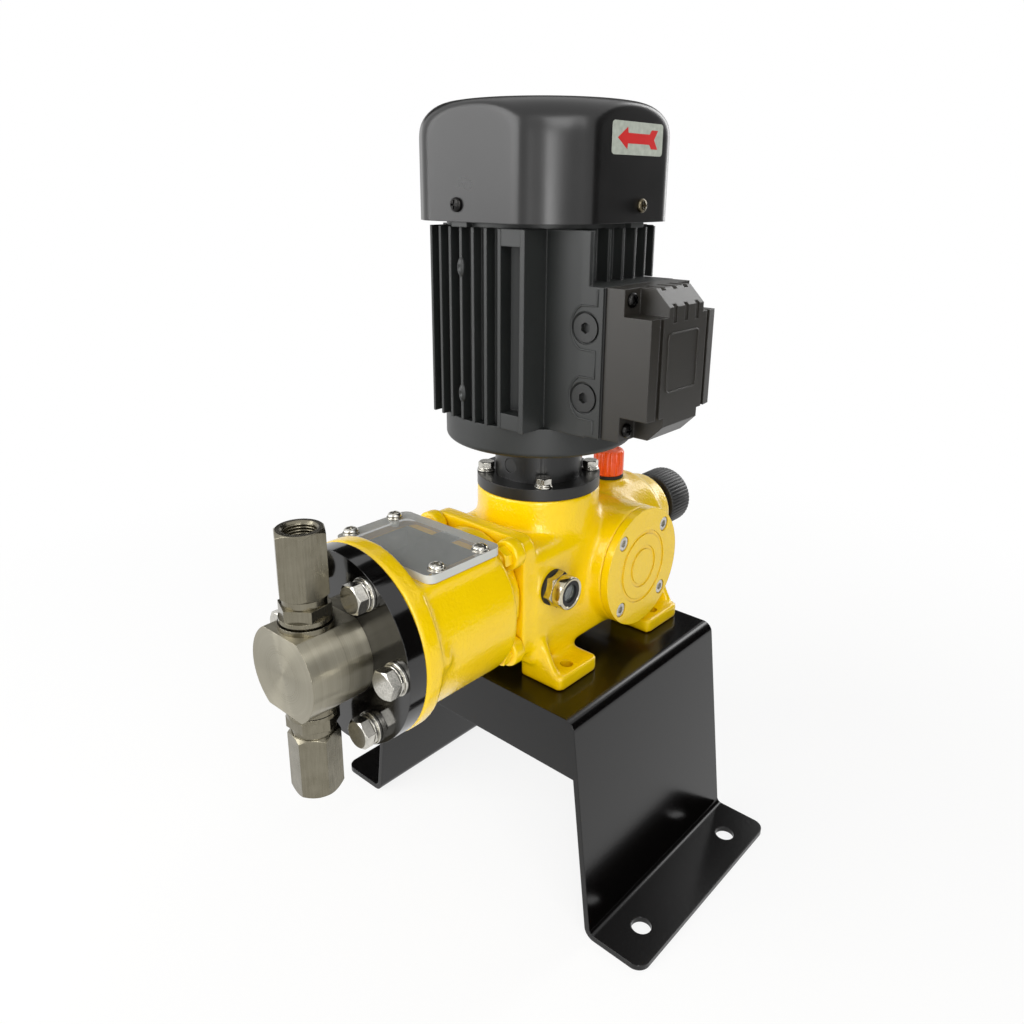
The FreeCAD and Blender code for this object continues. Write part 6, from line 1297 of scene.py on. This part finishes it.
# %% Stroke knob
KNOB_RADIUS = 24.5 * MM
KNOB_FLUTES = 48
FLUTE_DEPTH = 0.45 * MM
KNOB_GRIP = in_mm([
    (0, 16.4), (0, 22.6), (0.5, 23.6), (1.4, 24.2), (2.2, 24.5), (25.6, 24.5), (26.6, 24.2), (27.5, 23.4),
    (28.0, 22.0), (28.0, 20.5), (27.5, 19.8), (27.4, 6.0), (27.0, 5.4), (27.0, 0)])
KNOB_HOLLOW = in_mm([(23.0, 0), (23.0, 8.1), (10.9, 8.1), (10.9, 16.4), (0, 16.4)])


def fluted(angle, radius):
    """Fine round flutes on the grip only."""
    if radius < KNOB_RADIUS - 0.3 * MM:
        return radius
    return radius - FLUTE_DEPTH * (0.5 - 0.5 * math.cos(KNOB_FLUTES * angle)) ** 3


form = bmesh.new()
start = Vector((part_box("stroke_knob")[0].x, 0, pz))
turn_profile(form, KNOB_GRIP, start, (1, 0, 0), KNOB_FLUTES * 8, fluted)
turn_profile(form, KNOB_HOLLOW, start, (1, 0, 0), KNOB_FLUTES * 8)
dress(as_object(form, "stroke_knob_grip"), knob_plastic, ["stroke_knob"], body="knob")

# %% Filler cap
CAP_RADIUS = 12 * MM
CAP_RIBS = 14
RIB_DEPTH = 0.8 * MM
cap_low, cap_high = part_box("filler_cap")
stem = (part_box("filler_cap_gasket")[1].z - cap_low.z) / MM
top = (cap_high.z - cap_low.z) / MM


def ribbed(angle, radius):
    """Wide ribs with round valleys between them."""
    if radius < CAP_RADIUS - 0.2 * MM:
        return radius
    return radius - RIB_DEPTH * max(0.0, math.cos(CAP_RIBS * angle)) ** 2


profile = in_mm([
    (0, 0), (0, 8.2), (0.6, 8.8), (stem, 8.8), (stem, 11.2), (stem + 0.8, 12), (top - 2.6, 12),
    (top - 0.9, 11.2), (top, 9.8), (top, 8.4), (top - 0.9, 7.6), (top - 0.9, 2), (top - 0.6, 0)])
cap = turned("filler_cap_ribbed", profile, Vector((cap_x, 0, cap_low.z)), UPWARD, CAP_RIBS * 14, ribbed)
dress(cap, cap_plastic, ["filler_cap"], body="cap_body")

# %% Sight glass body
OUTWARD = Vector((0, -1, 0))
SIGHT_RIM = in_mm([
    (0, 6.4), (0, 8), (16.2, 8), (16.2, 10.6), (17, 11.4), (18, 11.6), (23.4, 11.6), (24.2, 11.2),
    (24.5, 10.4), (24.5, 9.3), (24.2, 9.0), (19.5, 9.0), (19.5, 6.4), (0, 6.4)])
form = bmesh.new()
turned_hexagon(form, 22 * MM, 6 * MM, Vector((sight.x, -47.5 * MM, sight.z)), OUTWARD, 0.2)
collar = cut_away(as_object(form, "sight_glass_hexagon", 28), [
    bore(sight.x, -66 * MM, sight.z, (0, 26 * MM, 0), 8.9 * MM)])
dress(collar, nickel, ["sight_glass_body"])
rim_start = Vector((sight.x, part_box("sight_glass_body")[1].y, sight.z))
dress(turned("sight_glass_rim", SIGHT_RIM, rim_start, OUTWARD, 72), nickel)

# %% [markdown]
# ## Port threads
# The two ports of the valves are tapped. The thread tree winds their first turns just inside the bore.

# %% Wind the threads
THREAD_RADIUS = 9.2 * MM
THREAD_PITCH = 1.8 * MM
THREAD_TURNS = 9.0
THREAD_INSET = 1.6 * MM
for name, at_top in (("discharge_valve_body", True), ("suction_valve_body", False)):
    low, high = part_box(name)
    start = high.z - THREAD_INSET - THREAD_PITCH * THREAD_TURNS if at_top else low.z + THREAD_INSET
    wound = grow(thread, name.replace("_body", "_thread"), {
        "Radius": THREAD_RADIUS, "Pitch": THREAD_PITCH, "Turns": THREAD_TURNS, "Tooth": 0.55 * MM,
        "Centre": ((low.x + high.x) / 2, 0, start), "Finish": bar_steel})
    dress(wound, bar_steel)
